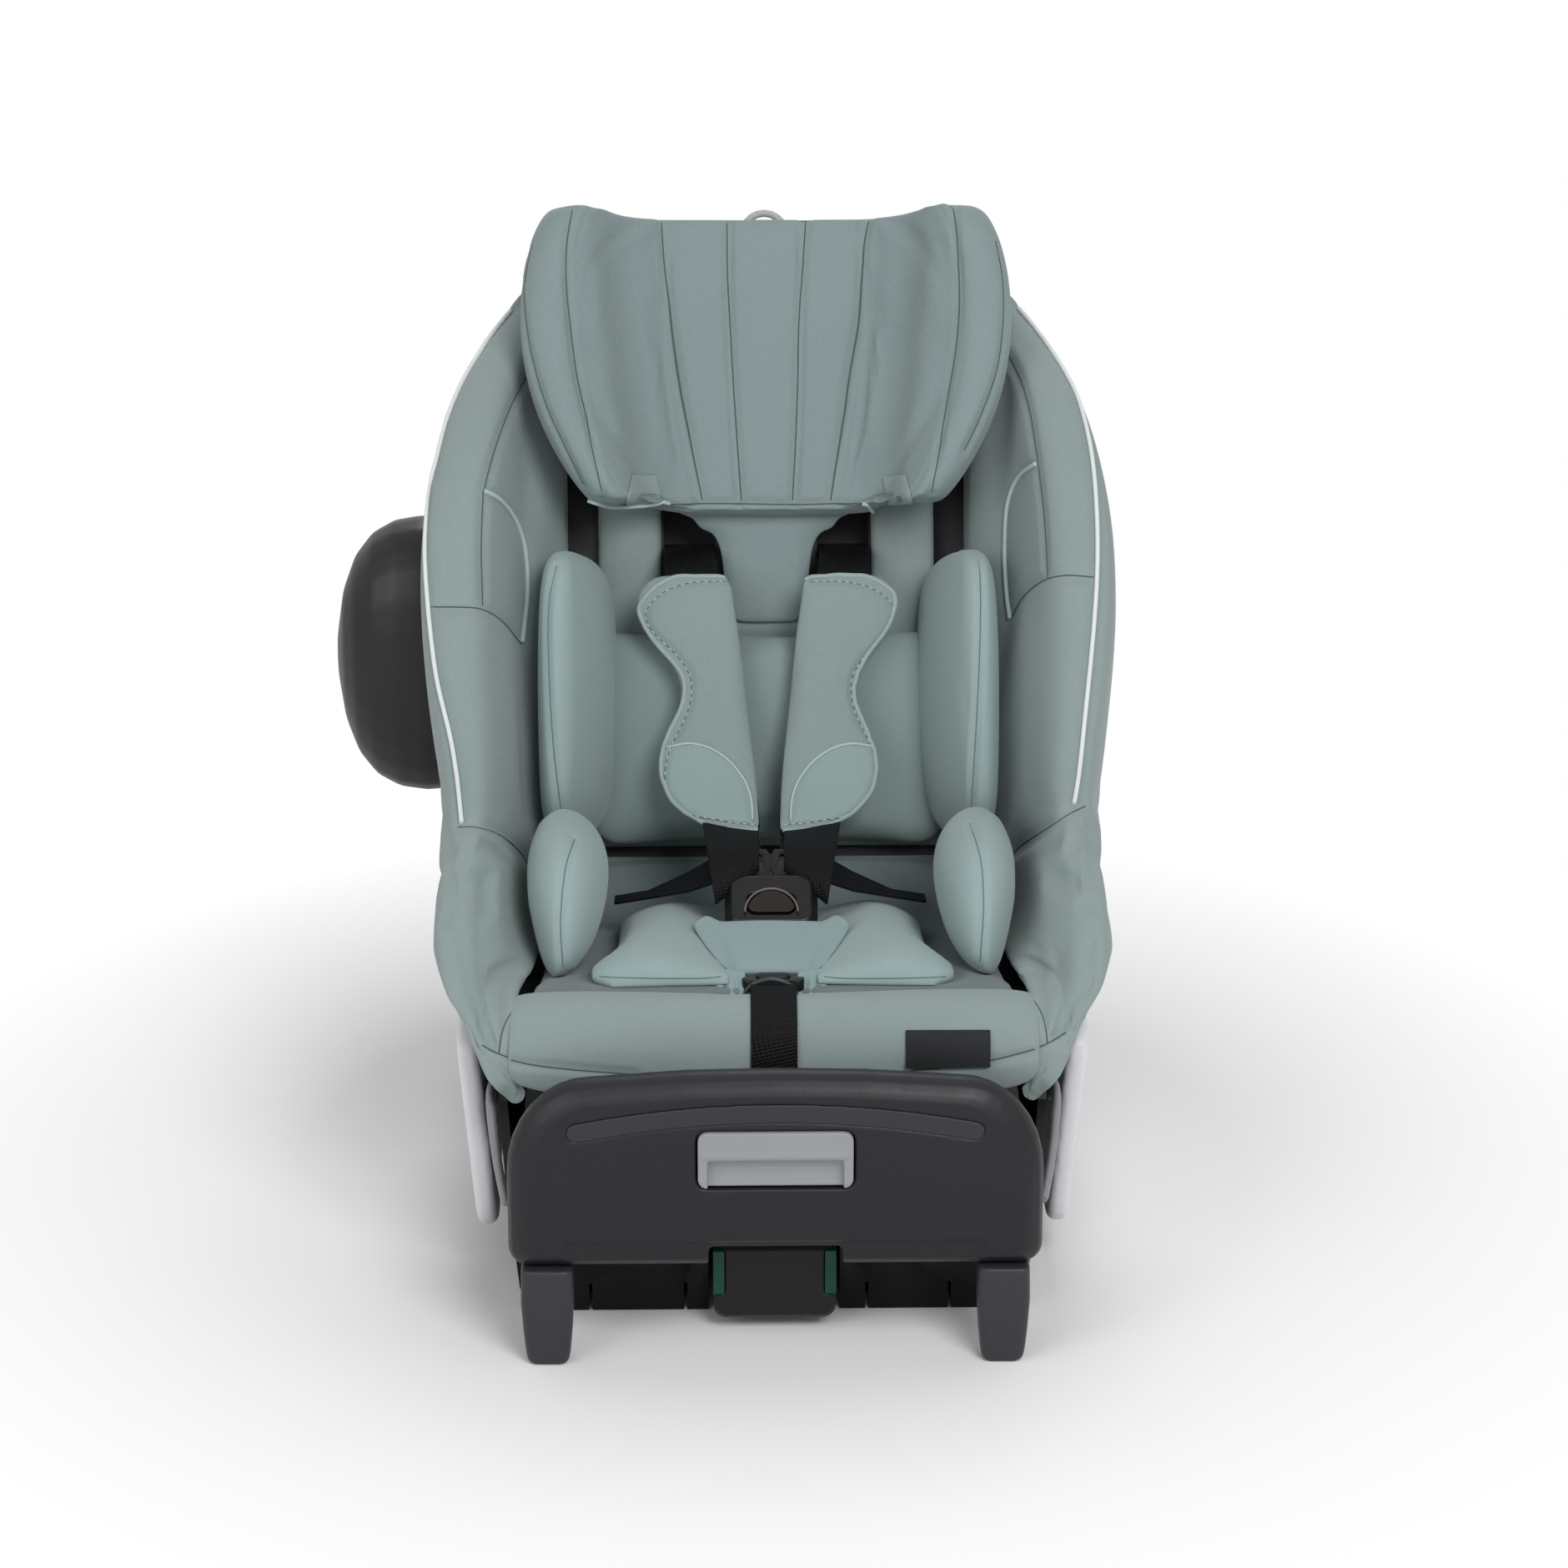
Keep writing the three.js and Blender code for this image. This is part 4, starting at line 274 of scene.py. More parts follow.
brushing = {                                  # brushed metal
    "lineGrain": (4.0, 3.0), "cloudGrain": (18,), "lines": 0.6, "cloud": 0.4, "dark": 0.88, "light": 1.08,
    "metal": 0.93, "metalDrift": 0.06, "roughDrift": 0.2, "bump": (0.00008, 0.4),
}


def metalFinish(name, colour, roughness=0.34, along=(300, 300, 12)):
    material, shader, place = startFinish(name)
    brushed = streaks(place, along, *brushing["lineGrain"])
    cloud = place.grain(*brushing["cloudGrain"])
    tone = brushed * brushing["lines"] + cloud * brushing["cloud"]
    wireUp(shader, Base_Color=tone.mixed(toned(colour, brushing["dark"]), toned(colour, brushing["light"])),
           Metallic=cloud * brushing["metalDrift"] + brushing["metal"],
           Roughness=brushed * brushing["roughDrift"] + (roughness - brushing["roughDrift"] / 2),
           Normal=brushed.bump(*brushing["bump"]))
    return material


jersey = dict(pitch=0.0012, heather=0.06)
thread = dict(pitch=0.0009, heather=0.2, sheen=0.0, crease=0.0002)
gloss = 0.00005                               # the grain of painted and polished plastic
looks = {                                     # material, screen colour, and what differs from its kind
    clothFinish: {
        "cover": ("coverKnit", (140, 155, 154), {}),
        "headrest": ("headrestKnit", (133, 148, 149), {}),
        "insert": ("insertJersey", (150, 169, 169), jersey),
        "insertBack": ("insertBackJersey", (135, 153, 151), jersey),
        "pads": ("padKnit", (138, 154, 152), {}),
        "patch": ("patchKnit", (143, 163, 162), dict(pitch=0.0012, heather=0.05)),
        "crotch": ("crotchJersey", (141, 161, 162), jersey),
        "piping": ("pipingCord", (182, 200, 195), dict(pitch=0.0009, heather=0.12, crease=0.0002)),
        "reflector": ("reflectiveCord", (226, 232, 230), dict(pitch=0.0009, roughness=0.5, crease=0.0002)),
        "seam": ("seamThread", (82, 95, 95), thread),
        "insertSeam": ("insertThread", (104, 124, 124), thread),
        # the tab's own knit, made lighter than the headrest's as a painted highlight on the raised tab
        "tab": ("headrestTabKnit", (141, 157, 156), dict(pitch=0.0011)),
        "binding": ("padBindingKnit", (156, 173, 169), dict(pitch=0.001, crease=0.0002)),
        # painted shade: the seat cover's knit is darker than the cover knit, standing in for the shade down in the
        # seat
        "shadeCover": ("seatCoverKnit", (112, 124, 126), {}),
        "stitch": ("stitchThread", (176, 192, 188), dict(pitch=0.0006, roughness=0.6, crease=0.0001)),
        "tag": ("blankTag", (30, 31, 34), dict(pitch=0.001, heather=0.2, roughness=0.7)),
    },
    webFinish: {
        "webbing": ("harnessWebbing", (9, 9, 12), {}),
    },
    plasticFinish: {
        "shell": ("shellPlastic", (26, 27, 30), dict(roughness=0.5)),
        "base": ("basePlastic", (13, 12, 15), dict(roughness=0.48)),
        "bar": ("barPlastic", (26, 26, 31), dict(roughness=0.42)),
        "inlay": ("inlayPlastic", (44, 45, 50), dict(roughness=0.5)),
        "barLeg": ("barLegPlastic", (50, 49, 54), dict(roughness=0.44)),
        "handle": ("handleSilver", (146, 148, 152), dict(roughness=0.36, grain=gloss)),
        "plate": ("sidePlatePaint", (226, 225, 230), dict(roughness=0.34, grain=gloss, drift=0.04)),
        "arm": ("guideArmPlastic", (135, 134, 139), dict(roughness=0.4, grain=0.00006)),
        "green": ("indicatorGreen", (2, 68, 51), dict(roughness=0.4, grain=gloss)),
        "pod": ("podPlastic", (30, 30, 32), dict(roughness=0.36, grain=0.0001)),
        "loop": ("loopPlastic", (176, 180, 179), dict(roughness=0.4, grain=gloss)),
        "button": ("buttonRed", (44, 20, 18), dict(roughness=0.4, grain=gloss)),
        "moon": ("buckleButtonRed", (24, 12, 11), dict(roughness=0.3, grain=gloss)),
        # painted highlight: a light cord round the dark button, standing in for the highlight on its moulded edge
        "rim": ("buckleRim", (104, 94, 88), dict(roughness=0.35, grain=gloss)),
        "arch": ("adjusterRim", (58, 62, 64), dict(roughness=0.35, grain=gloss)),
        "tongue": ("tonguePlastic", (9, 9, 12), dict(roughness=0.36, grain=0.00008)),
    },
    metalFinish: {
        "steel": ("plainSteel", (150, 152, 156), {}),
        "leg": ("legAluminium", (176, 178, 182), dict(roughness=0.3)),
    },
}
finishes = {name: kind(material, shade(*tint), **own)
            for kind, rows in looks.items() for name, (material, tint, own) in rows.items()}
print("finishes made:", len(finishes))


def deselectAll():
    for item in bpy.context.selected_objects:
        item.select_set(False)


def pick(piece):
    deselectAll()
    piece.select_set(True)
    bpy.context.view_layer.objects.active = piece


def applied(piece, kind, **settings):         # one modifier, applied at once
    pick(piece)
    modifier = piece.modifiers.new(kind.lower(), kind)
    for name, value in settings.items():
        setattr(modifier, name, value)
    bpy.ops.object.modifier_apply(modifier=modifier.name)


def inEditMode(piece, *steps):                # edit steps on the whole mesh
    pick(piece)
    bpy.ops.object.mode_set(mode="EDIT")
    bpy.ops.mesh.select_all(action="SELECT")
    for step, settings in steps:
        step(**settings)
    bpy.ops.object.mode_set(mode="OBJECT")


limits = {                                    # metres for the weld, degrees for the rest
    "weld": 0.00002, "flat": 0.6, "sharp": 38, "web": 40, "panel": 50, "mould": 60,
}


def copyOf(name, pieceName):                  # a merged copy of one part
    piece = bpy.data.objects.new(pieceName, nodes[name].data.copy())
    bpy.context.collection.objects.link(piece)
    inEditMode(piece, (bpy.ops.mesh.remove_doubles, {"threshold": limits["weld"]}))
    return piece


homes = {}                                    # slot and body of each piece, for what is sewn on it


def settle(piece, finish, slot, body, *replaced):   # its look, its slot, what it stands for and what it rides on
    homes[piece.name] = (slot, body)
    piece.data.materials.clear()
    piece.data.materials.append(finishes[finish])
    if replaced:
        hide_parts(*replaced)
    if body:
        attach(piece, body)
    return piece


def smoothBy(piece, degrees):
    pick(piece)
    bpy.ops.object.shade_smooth_by_angle(angle=math.radians(degrees))


def moulded(piece, voxel, rounds):            # one even skin, smoothed
    applied(piece, "REMESH", mode="VOXEL", voxel_size=voxel, use_smooth_shade=True)
    applied(piece, "SMOOTH", factor=0.5, iterations=rounds)


def bevelled(piece, width, degrees):
    applied(piece, "BEVEL", width=width, segments=2, limit_method="ANGLE", angle_limit=math.radians(degrees))


def hardPiece(node, finish, slot, edge):      # edge: a bevel's width, or a mould's voxel and smoothing
    first, *others = node.split("_")
    piece = copyOf(node, first + "".join(word.capitalize() for word in others))
    if isinstance(edge, tuple):
        moulded(piece, *edge)
        smoothBy(piece, limits["mould"])
    else:
        inEditMode(piece, (bpy.ops.mesh.dissolve_limited, {"angle_limit": math.radians(limits["flat"])}))
        if edge:
            bevelled(piece, edge, limits["sharp"])
        smoothBy(piece, limits["sharp"])
    return settle(piece, finish, slot, bodyOf[node], node)


def surfaceOf(piece):                         # its faces, for rays and nearest spots
    mesh = piece.data
    return BVHTree.FromPolygons([v.co for v in mesh.vertices], [p.vertices for p in mesh.polygons])


def aroundTree(skip):                         # everything that a swelling piece must stay clear of
    corners, faces = [], []
    for name, node in nodes.items():
        if name == skip:
            continue
        first = len(corners)
        corners += [v.co.copy() for v in node.data.vertices]
        faces += [[first + k for k in p.vertices] for p in node.data.polygons]
    return BVHTree.FromPolygons(corners, faces)


def rounded(points, step):                    # a smooth line through the points, evenly spaced
    points = [Vector(p) for p in points]
    ends = [points[0] * 2 - points[1], *points, points[-1] * 2 - points[-2]]
    line = []
    for a, b, c, d in zip(ends, ends[1:], ends[2:], ends[3:]):
        count = max(2, int((c - b).length / step))
        for k in range(count):
            t = k / count
            line.append(0.5 * (2 * b + (c - a) * t + (2 * a - 5 * b + 4 * c - d) * t * t
                               + (3 * b - a - 3 * c + d) * t ** 3))
    return line + [points[-1]]


def underPixel(surface, x, y, slide=viewpoint["slide"], towards=viewpoint["heart"]):
    inward = Vector((towards[0] - x, towards[1] - y)).normalized()
    for k in range(0, slide, viewpoint["hop"]):   # the spot under the pixel, or just inside the piece's outline
        start, way = pixelRay(x + inward.x * k, y + inward.y * k)
        hit = surface.ray_cast(start, way)[0]
        if hit is not None:
            return hit
    return None


def pixelPath(surface, pixels):               # a line of the photograph laid on the piece
    line = rounded([(x, y, 0) for x, y in pixels], viewpoint["step"])
    path = []
    for spot in [underPixel(surface, p.x, p.y) for p in line]:
        if spot is not None and (not path or (spot - path[-1]).length < viewpoint["jump"]):
            path.append(spot)
    return path


sewing = {                                    # what the sewn pieces share
    "even": 6, "levels": 2, "square": 80, "reach": 1.3, "round": 0.3, "seatRounds": 3, "fewest": 3,
}


def evened(line, rounds):                     # wobbles taken out, with the ends kept
    for _ in range(rounds):
        line = [line[0]] + [(a + b * 2 + c) / 4 for a, b, c in zip(line, line[1:], line[2:])] + [line[-1]]
    return line


def seated(surface, path, lift, even=0):      # the path on the finished surface, raised by lift
    line = []
    for point in evened(path, even):
        spot, normal = surface.find_nearest(point)[:2]
        line.append(spot + normal * lift)
    return evened(line, sewing["seatRounds"])


def pathTree(paths):
    points = [p for path in paths for p in path]
    tree = KDTree(len(points))
    for k, point in enumerate(points):
        tree.insert(point, k)
    tree.balance()
    return tree


def finer(piece, paths, reach):               # smaller faces along the seams
    tree = pathTree(paths)
    pick(piece)
    bpy.ops.object.mode_set(mode="EDIT")
    bpy.ops.mesh.select_all(action="DESELECT")
    bpy.ops.object.mode_set(mode="OBJECT")
    for face in piece.data.polygons:
        face.select = tree.find(face.center)[2] < reach
    bpy.ops.object.mode_set(mode="EDIT")
    bpy.ops.mesh.select_mode(type="FACE")
    bpy.ops.mesh.subdivide(number_cuts=1, smoothness=0)
    bpy.ops.mesh.select_mode(type="VERT")
    bpy.ops.object.mode_set(mode="OBJECT")


def pressed(piece, paths, width, depth):      # a sewn valley along each path
    tree = pathTree(paths)
    normals = [v.normal.copy() for v in piece.data.vertices]
    for vertex, normal in zip(piece.data.vertices, normals):
        away = tree.find(vertex.co)[2]
        if away < width:
            vertex.co -= normal * depth * (1 - (away / width) ** 2) ** 2


swell = {                                     # how the covers behave while air fills them
    "quality": 4, "mass": 0.2, "stretch": 12, "shear": 6, "bend": 0.6, "frames": 20, "groupName": "sewn",
    "clear": 0.0004, "still": 1e-7, "quickShare": 0.5,
}


def clothSwell(piece, held, pressure, hold):  # air under the fabric, with its seams held down
    mesh = piece.data
    group = piece.vertex_groups.new(name=swell["groupName"])
    if held:
        tree = pathTree(held)
        for vertex in mesh.vertices:
            away = tree.find(vertex.co)[2]
            if away < hold:
                group.add([vertex.index], 1 - (away / hold) ** 2, "REPLACE")
    pick(piece)
    cloth = piece.modifiers.new("puff", "CLOTH")
    stuff = cloth.settings
    stuff.quality = swell["quality"]
    stuff.mass = swell["mass"]
    stuff.tension_stiffness = stuff.compression_stiffness = swell["stretch"]
    stuff.shear_stiffness = swell["shear"]
    stuff.bending_stiffness = swell["bend"]
    stuff.use_pressure = True
    stuff.uniform_pressure_force = pressure
    stuff.effector_weights.gravity = 0
    stuff.vertex_group_mass = swell["groupName"]
    cloth.point_cache.frame_start = 1
    cloth.point_cache.frame_end = swell["frames"]
    for step in range(swell["frames"]):
        bpy.context.scene.frame_set(step + 1)
    bpy.ops.object.modifier_apply(modifier=cloth.name)
    bpy.context.scene.frame_set(1)
    piece.vertex_groups.clear()
    return [v.co.copy() for v in mesh.vertices]


def puff(piece, node, held, pressure, cap, hold):   # swollen by cap at most, and clear of everything else
    mesh = piece.data
    rest = [v.co.copy() for v in mesh.vertices]
    around = aroundTree(node)
    moved = clothSwell(piece, held, pressure, hold)
    for vertex, start, end in zip(mesh.vertices, rest, moved):
        length = (end - start).length
        if length < swell["still"]:
            continue
        way = (end - start) / length
        length = min(length, cap)
        hit = around.ray_cast(start, way, length + swell["clear"])[3]
        if hit is not None:
            length = max(0.0, hit - swell["clear"])
        vertex.co = start + way * length


def softPiece(node, pieceName, finish, slot, voxel=None, pressure=4.0, cap=0.006, seams=(), groove=(0.006, 0.0014),
              fill=0.6, hold=0.009):
    piece = copyOf(node, pieceName)
    if voxel:
        moulded(piece, voxel, sewing["even"])
    else:                                     # the part is already a grid: its triangles go back to squares
        square = math.radians(sewing["square"])
        inEditMode(piece, (bpy.ops.mesh.tris_convert_to_quads, {"face_threshold": square, "shape_threshold": square}))
        applied(piece, "SUBSURF", levels=sewing["levels"], render_levels=sewing["levels"])
    surface = surfaceOf(piece)
    paths = [pixelPath(surface, seam) for seam in seams]
    paths = [path for path in paths if len(path) > sewing["fewest"]]
    if cap:
        puff(piece, node, paths, pressure, cap, hold)
    applied(piece, "SUBSURF", levels=1, render_levels=1)
    if paths:
        finer(piece, paths, groove[0] * sewing["reach"])
        pressed(piece, paths, *groove)
    pick(piece)
    bpy.ops.object.shade_smooth()
    settle(piece, finish, slot, bodyOf[node], node)
    print(pieceName, len(piece.data.polygons), "faces,", len(paths), "seams")
    return piece, paths


def widened(piece, spread, zone):             # both ends run on outwards, into the pieces beside them
    half = max(abs(v.co.x) for v in piece.data.vertices)
    for vertex in piece.data.vertices:
        share = max(0.0, (abs(vertex.co.x) - half + zone) / zone)
        vertex.co.x += math.copysign(spread * share, vertex.co.x)


def tubesOn(pieceName, lines, radius, finish, slot, body, sides=2):
    curve = bpy.data.curves.new(pieceName, "CURVE")
    curve.dimensions = "3D"
    curve.bevel_depth = radius
    curve.bevel_resolution = sides
    curve.use_fill_caps = True
    for line in lines:
        spline = curve.splines.new("POLY")
        spline.points.add(len(line) - 1)
        for point, spot in zip(spline.points, line):
            point.co = (*spot, 1)
    tube = bpy.data.objects.new(pieceName, curve)
    bpy.context.collection.objects.link(tube)
    pick(tube)
    bpy.ops.object.convert(target="MESH")
    tube = bpy.context.object
    bpy.ops.object.shade_smooth()
    return settle(tube, finish, slot, body)


def cordsOn(piece, pieceName, paths, radius, finish, lift=0.0, even=0):
    surface = surfaceOf(piece)
    lines = [seated(surface, path, lift, even) for path in paths]
    return tubesOn(pieceName, lines, radius, finish, *homes[piece.name])


def stitchModel(length, radius):              # one stitch: a ball drawn out along X
    deselectAll()
    bpy.ops.mesh.primitive_uv_sphere_add(segments=6, ring_count=5, radius=radius)
    stitch = bpy.context.object
    inEditMode(stitch, (bpy.ops.transform.rotate, {"value": math.pi / 2, "orient_axis": "Y",
                                                   "center_override": (0, 0, 0)}),
               (bpy.ops.transform.resize, {"value": (length / 2 / radius, 1, 1)}))
    bpy.ops.object.shade_smooth()
    return stitch


def stitchesOn(piece, pieceName, paths, finish, lift, pitch=0.0042, length=0.003, radius=0.0005, proud=0.3):
    surface = surfaceOf(piece)
    model = stitchModel(length, radius)
    row = []
    for path in paths:
        run = 0.0
        line = seated(surface, path, lift)
        for a, b in zip(line, line[1:]):
            run += (b - a).length
            if run < pitch:
                continue
            run = 0.0
            spot, normal = surface.find_nearest(b)[:2]
            along = (b - a).normalized()
            side = normal.cross(along).normalized()
            copy = model.copy()
            copy.data = model.data.copy()
            copy.matrix_world = Matrix((along, side, along.cross(side))).transposed().to_4x4()
            copy.location = spot + normal * (lift + radius * proud)
            bpy.context.collection.objects.link(copy)
            row.append(copy)
    bpy.data.objects.remove(model)
    deselectAll()
    for copy in row:
        copy.select_set(True)
    bpy.context.view_layer.objects.active = row[0]
    bpy.ops.object.transform_apply(location=True, rotation=True, scale=True)
    bpy.ops.object.join()
    joined = bpy.context.object
    joined.name = pieceName
    return settle(joined, finish, *homes[piece.name])


def pixelOf(point):                           # where a point shows in the photograph
    back, right, up = cameraAxes()
    away = point - Vector(viewpoint["target"]) - back * viewpoint["distance"]
    depth = -away.dot(back)
    half, focal = viewpoint["frame"] / 2, viewpoint["focal"]
    return half + focal * away.dot(right) / depth, half - focal * away.dot(up) / depth


def insideOutline(x, y, outline):             # a ray test in the photograph's pixels
    inside = False
    for (x1, y1), (x2, y2) in zip(outline, outline[1:] + outline[:1]):
        if (y1 > y) != (y2 > y) and x < x1 + (y - y1) * (x2 - x1) / (y2 - y1):
            inside = not inside
    return inside


def patchOn(piece, outline, finish, rise=0.0007, turned=0.2):   # a second layer of cloth sewn on the face
    piece.data.materials.append(finishes[finish])
    way = pixelRay(*outline[0])[1]
    raised = set()
    for face in piece.data.polygons:
        if face.normal.dot(way) < -turned and insideOutline(*pixelOf(face.center), outline):
            face.material_index = 1
            raised.update(face.vertices)
    for k in raised:
        vertex = piece.data.vertices[k]
        vertex.co += vertex.normal * rise


def squareOf(pieceName, cells):               # a flat square of cloth, one metre wide
    deselectAll()
    bpy.ops.mesh.primitive_grid_add(x_subdivisions=cells, y_subdivisions=cells, size=1)
    bpy.context.object.name = pieceName
    return bpy.context.object


def tabOn(piece, pieceName, outline, towards, finish, slide=60, lift=0.001, thick=0.0014, cells=8):
    surface = surfaceOf(piece)
    tab = squareOf(pieceName, cells)
    corners = [Vector((*spot, 0)) for spot in outline]     # top left, top right, bottom right, bottom left
    for vertex in tab.data.vertices:
        u, v = vertex.co.x + 0.5, 0.5 - vertex.co.y
        spot = (corners[0] * (1 - u) + corners[1] * u) * (1 - v) + (corners[3] * (1 - u) + corners[2] * u) * v
        hit, normal = surface.find_nearest(underPixel(surface, spot.x, spot.y, slide, towards))[:2]
        vertex.co = hit + normal * lift
    applied(tab, "SOLIDIFY", thickness=thick, offset=0)
    bevelled(tab, thick * sewing["round"], limits["mould"])
    inEditMode(tab, (bpy.ops.mesh.normals_make_consistent, {"inside": False}))
    bpy.ops.object.shade_smooth()
    return settle(tab, finish, *homes[piece.name])


def mirrored(pixels):                         # the same line on the seat's other side
    return [(2 * viewpoint["middle"] - x, y) for x, y in pixels]


wing = {
    "cap": 0.006, "pressure": 4.0, "groove": (0.008, 0.0016),
    "leftSeams": [
        [(581, 588), (579, 660), (581, 725)],
        [(512, 727), (550, 727), (580, 730), (605, 745), (627, 772)],
        [(548, 990), (570, 990), (600, 1000), (625, 1020), (640, 1045)],
        [(640, 440), (618, 480), (602, 520), (590, 556), (582, 588)],
    ],
    "leftLines": [
        [(578, 1253), (592, 1261), (610, 1268), (628, 1274)],
        [(622, 1202), (610, 1219), (602, 1238), (598, 1263)],
    ],
    "leftPocket": [(582, 588), (602, 600), (620, 625), (629, 655), (631, 710), (627, 770)],
    "rightSeams": [
        [(1243, 560), (1250, 620), (1254, 692)],
        [(1210, 742), (1225, 715), (1250, 695), (1280, 689), (1312, 691)],
        [(1303, 965), (1280, 975), (1250, 995), (1220, 1015), (1210, 1030)],
        [(1208, 426), (1222, 455), (1232, 490), (1238, 525), (1243, 560)],
    ],
    "rightLines": [
        [(1278, 1238), (1262, 1248), (1245, 1256), (1226, 1263)],
        [(1230, 1188), (1244, 1206), (1252, 1225), (1256, 1251)],
    ],
    "rightPocket": [(1240, 556), (1220, 572), (1207, 605), (1204, 660), (1206, 710), (1210, 742)],
    "leftEdge": [(612, 372), (575, 405), (545, 462), (519, 560), (509, 640), (511, 710), (522, 810), (539, 880),
                 (549, 945), (553, 985)],
    "rightEdge": [(1226, 362), (1245, 380), (1283, 450), (1307, 530), (1315, 610), (1316, 680), (1311, 760),
                  (1301, 860), (1294, 930), (1288, 962)],
    "thread": 0.0005, "pipe": 0.0016, "pipeLift": 0.0008,
    "reflector": 0.0015, "reflectorLift": 0.0012, "reflectorEven": 60,
}

for side in ("left", "right"):
    seams, pocket = wing[side + "Seams"], wing[side + "Pocket"]
    piece, paths = softPiece("cover_wing_" + side, "wingCover_" + side, "cover", "cover_fabric",
                             pressure=wing["pressure"], cap=wing["cap"], groove=wing["groove"],
                             seams=seams + [pocket, wing[side + "Edge"]])
    surface = surfaceOf(piece)
    lines = [pixelPath(surface, line) for line in wing[side + "Lines"]]
    cordsOn(piece, "wingSeams_" + side, paths[:len(seams)] + lines, wing["thread"], "seam")
    cordsOn(piece, "wingPocketPiping_" + side, paths[len(seams):-1], wing["pipe"], "piping", wing["pipeLift"])
    cordsOn(piece, "wingReflector_" + side, paths[-1:], wing["reflector"], "reflector", wing["reflectorLift"],
            wing["reflectorEven"])

lining = {"voxel": 0.0045, "cap": 0.003}
softPiece("cover_back", "backCover", "cover", "cover_fabric", **lining)
# the seat cover wears the darker knit, a painted shade
softPiece("cover_seat", "seatCover", "shadeCover", "cover_fabric", **lining)

front = {
    "seams": [
        [(640, 1275), (672, 1280), (705, 1284), (760, 1288)],
        [(1214, 1264), (1185, 1272), (1135, 1280), (1090, 1284)],
    ],
    "threads": [                              # the same seams, carried on to the wings
        [(613, 1271), (640, 1277), (672, 1281), (705, 1284), (760, 1288)],
        [(1240, 1258), (1214, 1265), (1185, 1272), (1135, 1280), (1090, 1284)],
    ],
    "spread": 0.013, "zone": 0.03,            # its ends are tucked under the wings
    "cap": 0.007, "thread": 0.0005,
}
piece, paths = softPiece("cover_front", "frontBolster", "cover", "cover_fabric", cap=front["cap"],
                         seams=front["seams"])
widened(piece, front["spread"], front["zone"])
surface = surfaceOf(piece)
threads = [pixelPath(surface, thread) for thread in front["threads"]]
cordsOn(piece, "frontSeams", threads, front["thread"], "seam")

insert = {
    "pillowSeams": {
        "left": [[(667, 677), (657, 720), (656, 785), (662, 885), (672, 960), (677, 990)]],
        "right": [[(1167, 642), (1175, 685), (1175, 760), (1170, 860), (1162, 980)]],
    },
    "hipSeams": {
        "left": [[(690, 1004), (678, 1040), (672, 1090), (672, 1130), (678, 1180)]],
        "right": [[(1162, 985), (1176, 1030), (1180, 1080), (1178, 1120), (1172, 1172)]],
    },
    "hems": [
        [(697, 1166), (720, 1171), (780, 1173), (840, 1173), (864, 1171)],
        [(988, 1171), (1012, 1173), (1072, 1173), (1132, 1171), (1155, 1166)],
    ],
    "backSpread": 0.028, "backZone": 0.096,   # its sides go behind the pillows
    "cap": 0.006, "backCap": 0.005, "hold": 0.006, "thread": 0.0004, "seatVoxel": 0.004,
}
for side in ("left", "right"):
    for part, name in (("pillow", "insertPillow"), ("hip", "insertHip")):
        piece, paths = softPiece("insert_" + part + "_" + side, name + "_" + side, "insert", "insert_fabric",
                                 cap=insert["cap"], seams=insert[part + "Seams"][side], hold=insert["hold"])
        cordsOn(piece, name + "Seam_" + side, paths, insert["thread"], "insertSeam")
piece, paths = softPiece("insert_back", "insertBack", "insertBack", "insert_fabric", cap=insert["backCap"])
widened(piece, insert["backSpread"], insert["backZone"])
piece, paths = softPiece("insert_seat", "insertSeat", "insert", "insert_fabric", voxel=insert["seatVoxel"],
                         cap=insert["cap"])
surface = surfaceOf(piece)
hems = [pixelPath(surface, hem) for hem in insert["hems"]]
cordsOn(piece, "insertSeatHems", hems, insert["thread"], "insertSeam")

headrest = {
    "seams": [
        [(686, 250), (680, 300), (682, 360), (692, 444), (706, 508), (722, 598)],
        [(794, 264), (798, 320), (806, 400), (816, 468), (830, 540), (842, 600)],
        [(872, 264), (873, 340), (876, 412), (880, 480), (888, 600)],
        [(966, 260), (962, 320), (958, 400), (957, 460), (954, 540), (951, 600)],
        [(1043, 254), (1035, 292), (1033, 340), (1030, 388), (1020, 444), (1012, 500), (1002, 560), (996, 600)],
        [(1142, 240), (1147, 300), (1149, 360), (1144, 420), (1134, 480), (1126, 532), (1118, 592)],
    ],
    "edges": [
        [(634, 290), (626, 340), (630, 396), (640, 444), (654, 488), (674, 532), (698, 582)],
        [(1196, 288), (1204, 332), (1205, 380), (1198, 440), (1178, 498), (1158, 540)],
    ],
    "creases": [
        [(754, 318), (766, 390), (778, 470), (786, 545), (790, 600)],
        [(1074, 308), (1063, 385), (1053, 470), (1047, 552), (1050, 600)],
    ],
    "hems": [
        [(698, 596), (722, 604), (750, 611), (780, 613), (806, 606)],
        [(1032, 606), (1050, 613), (1080, 611), (1116, 602), (1144, 591)],
    ],
    "bottom": [(808, 605), (840, 604), (880, 604), (926, 605), (970, 605), (1004, 604), (1032, 604)],
    "tabs": [
        [(757, 570), (786, 570), (792, 603), (750, 604)],
        [(1060, 572), (1087, 570), (1095, 602), (1065, 603)],
    ],
    "heart": (926, 400), "cap": 0.007, "groove": (0.006, 0.0015), "crease": (0.034, 0.008),
    "thread": 0.00045, "hem": 0.0014, "hemLift": 0.001,
    "flapRise": (0, 0.002, 0.010), "flapZone": 0.016, "flapFlare": 0.05,
}
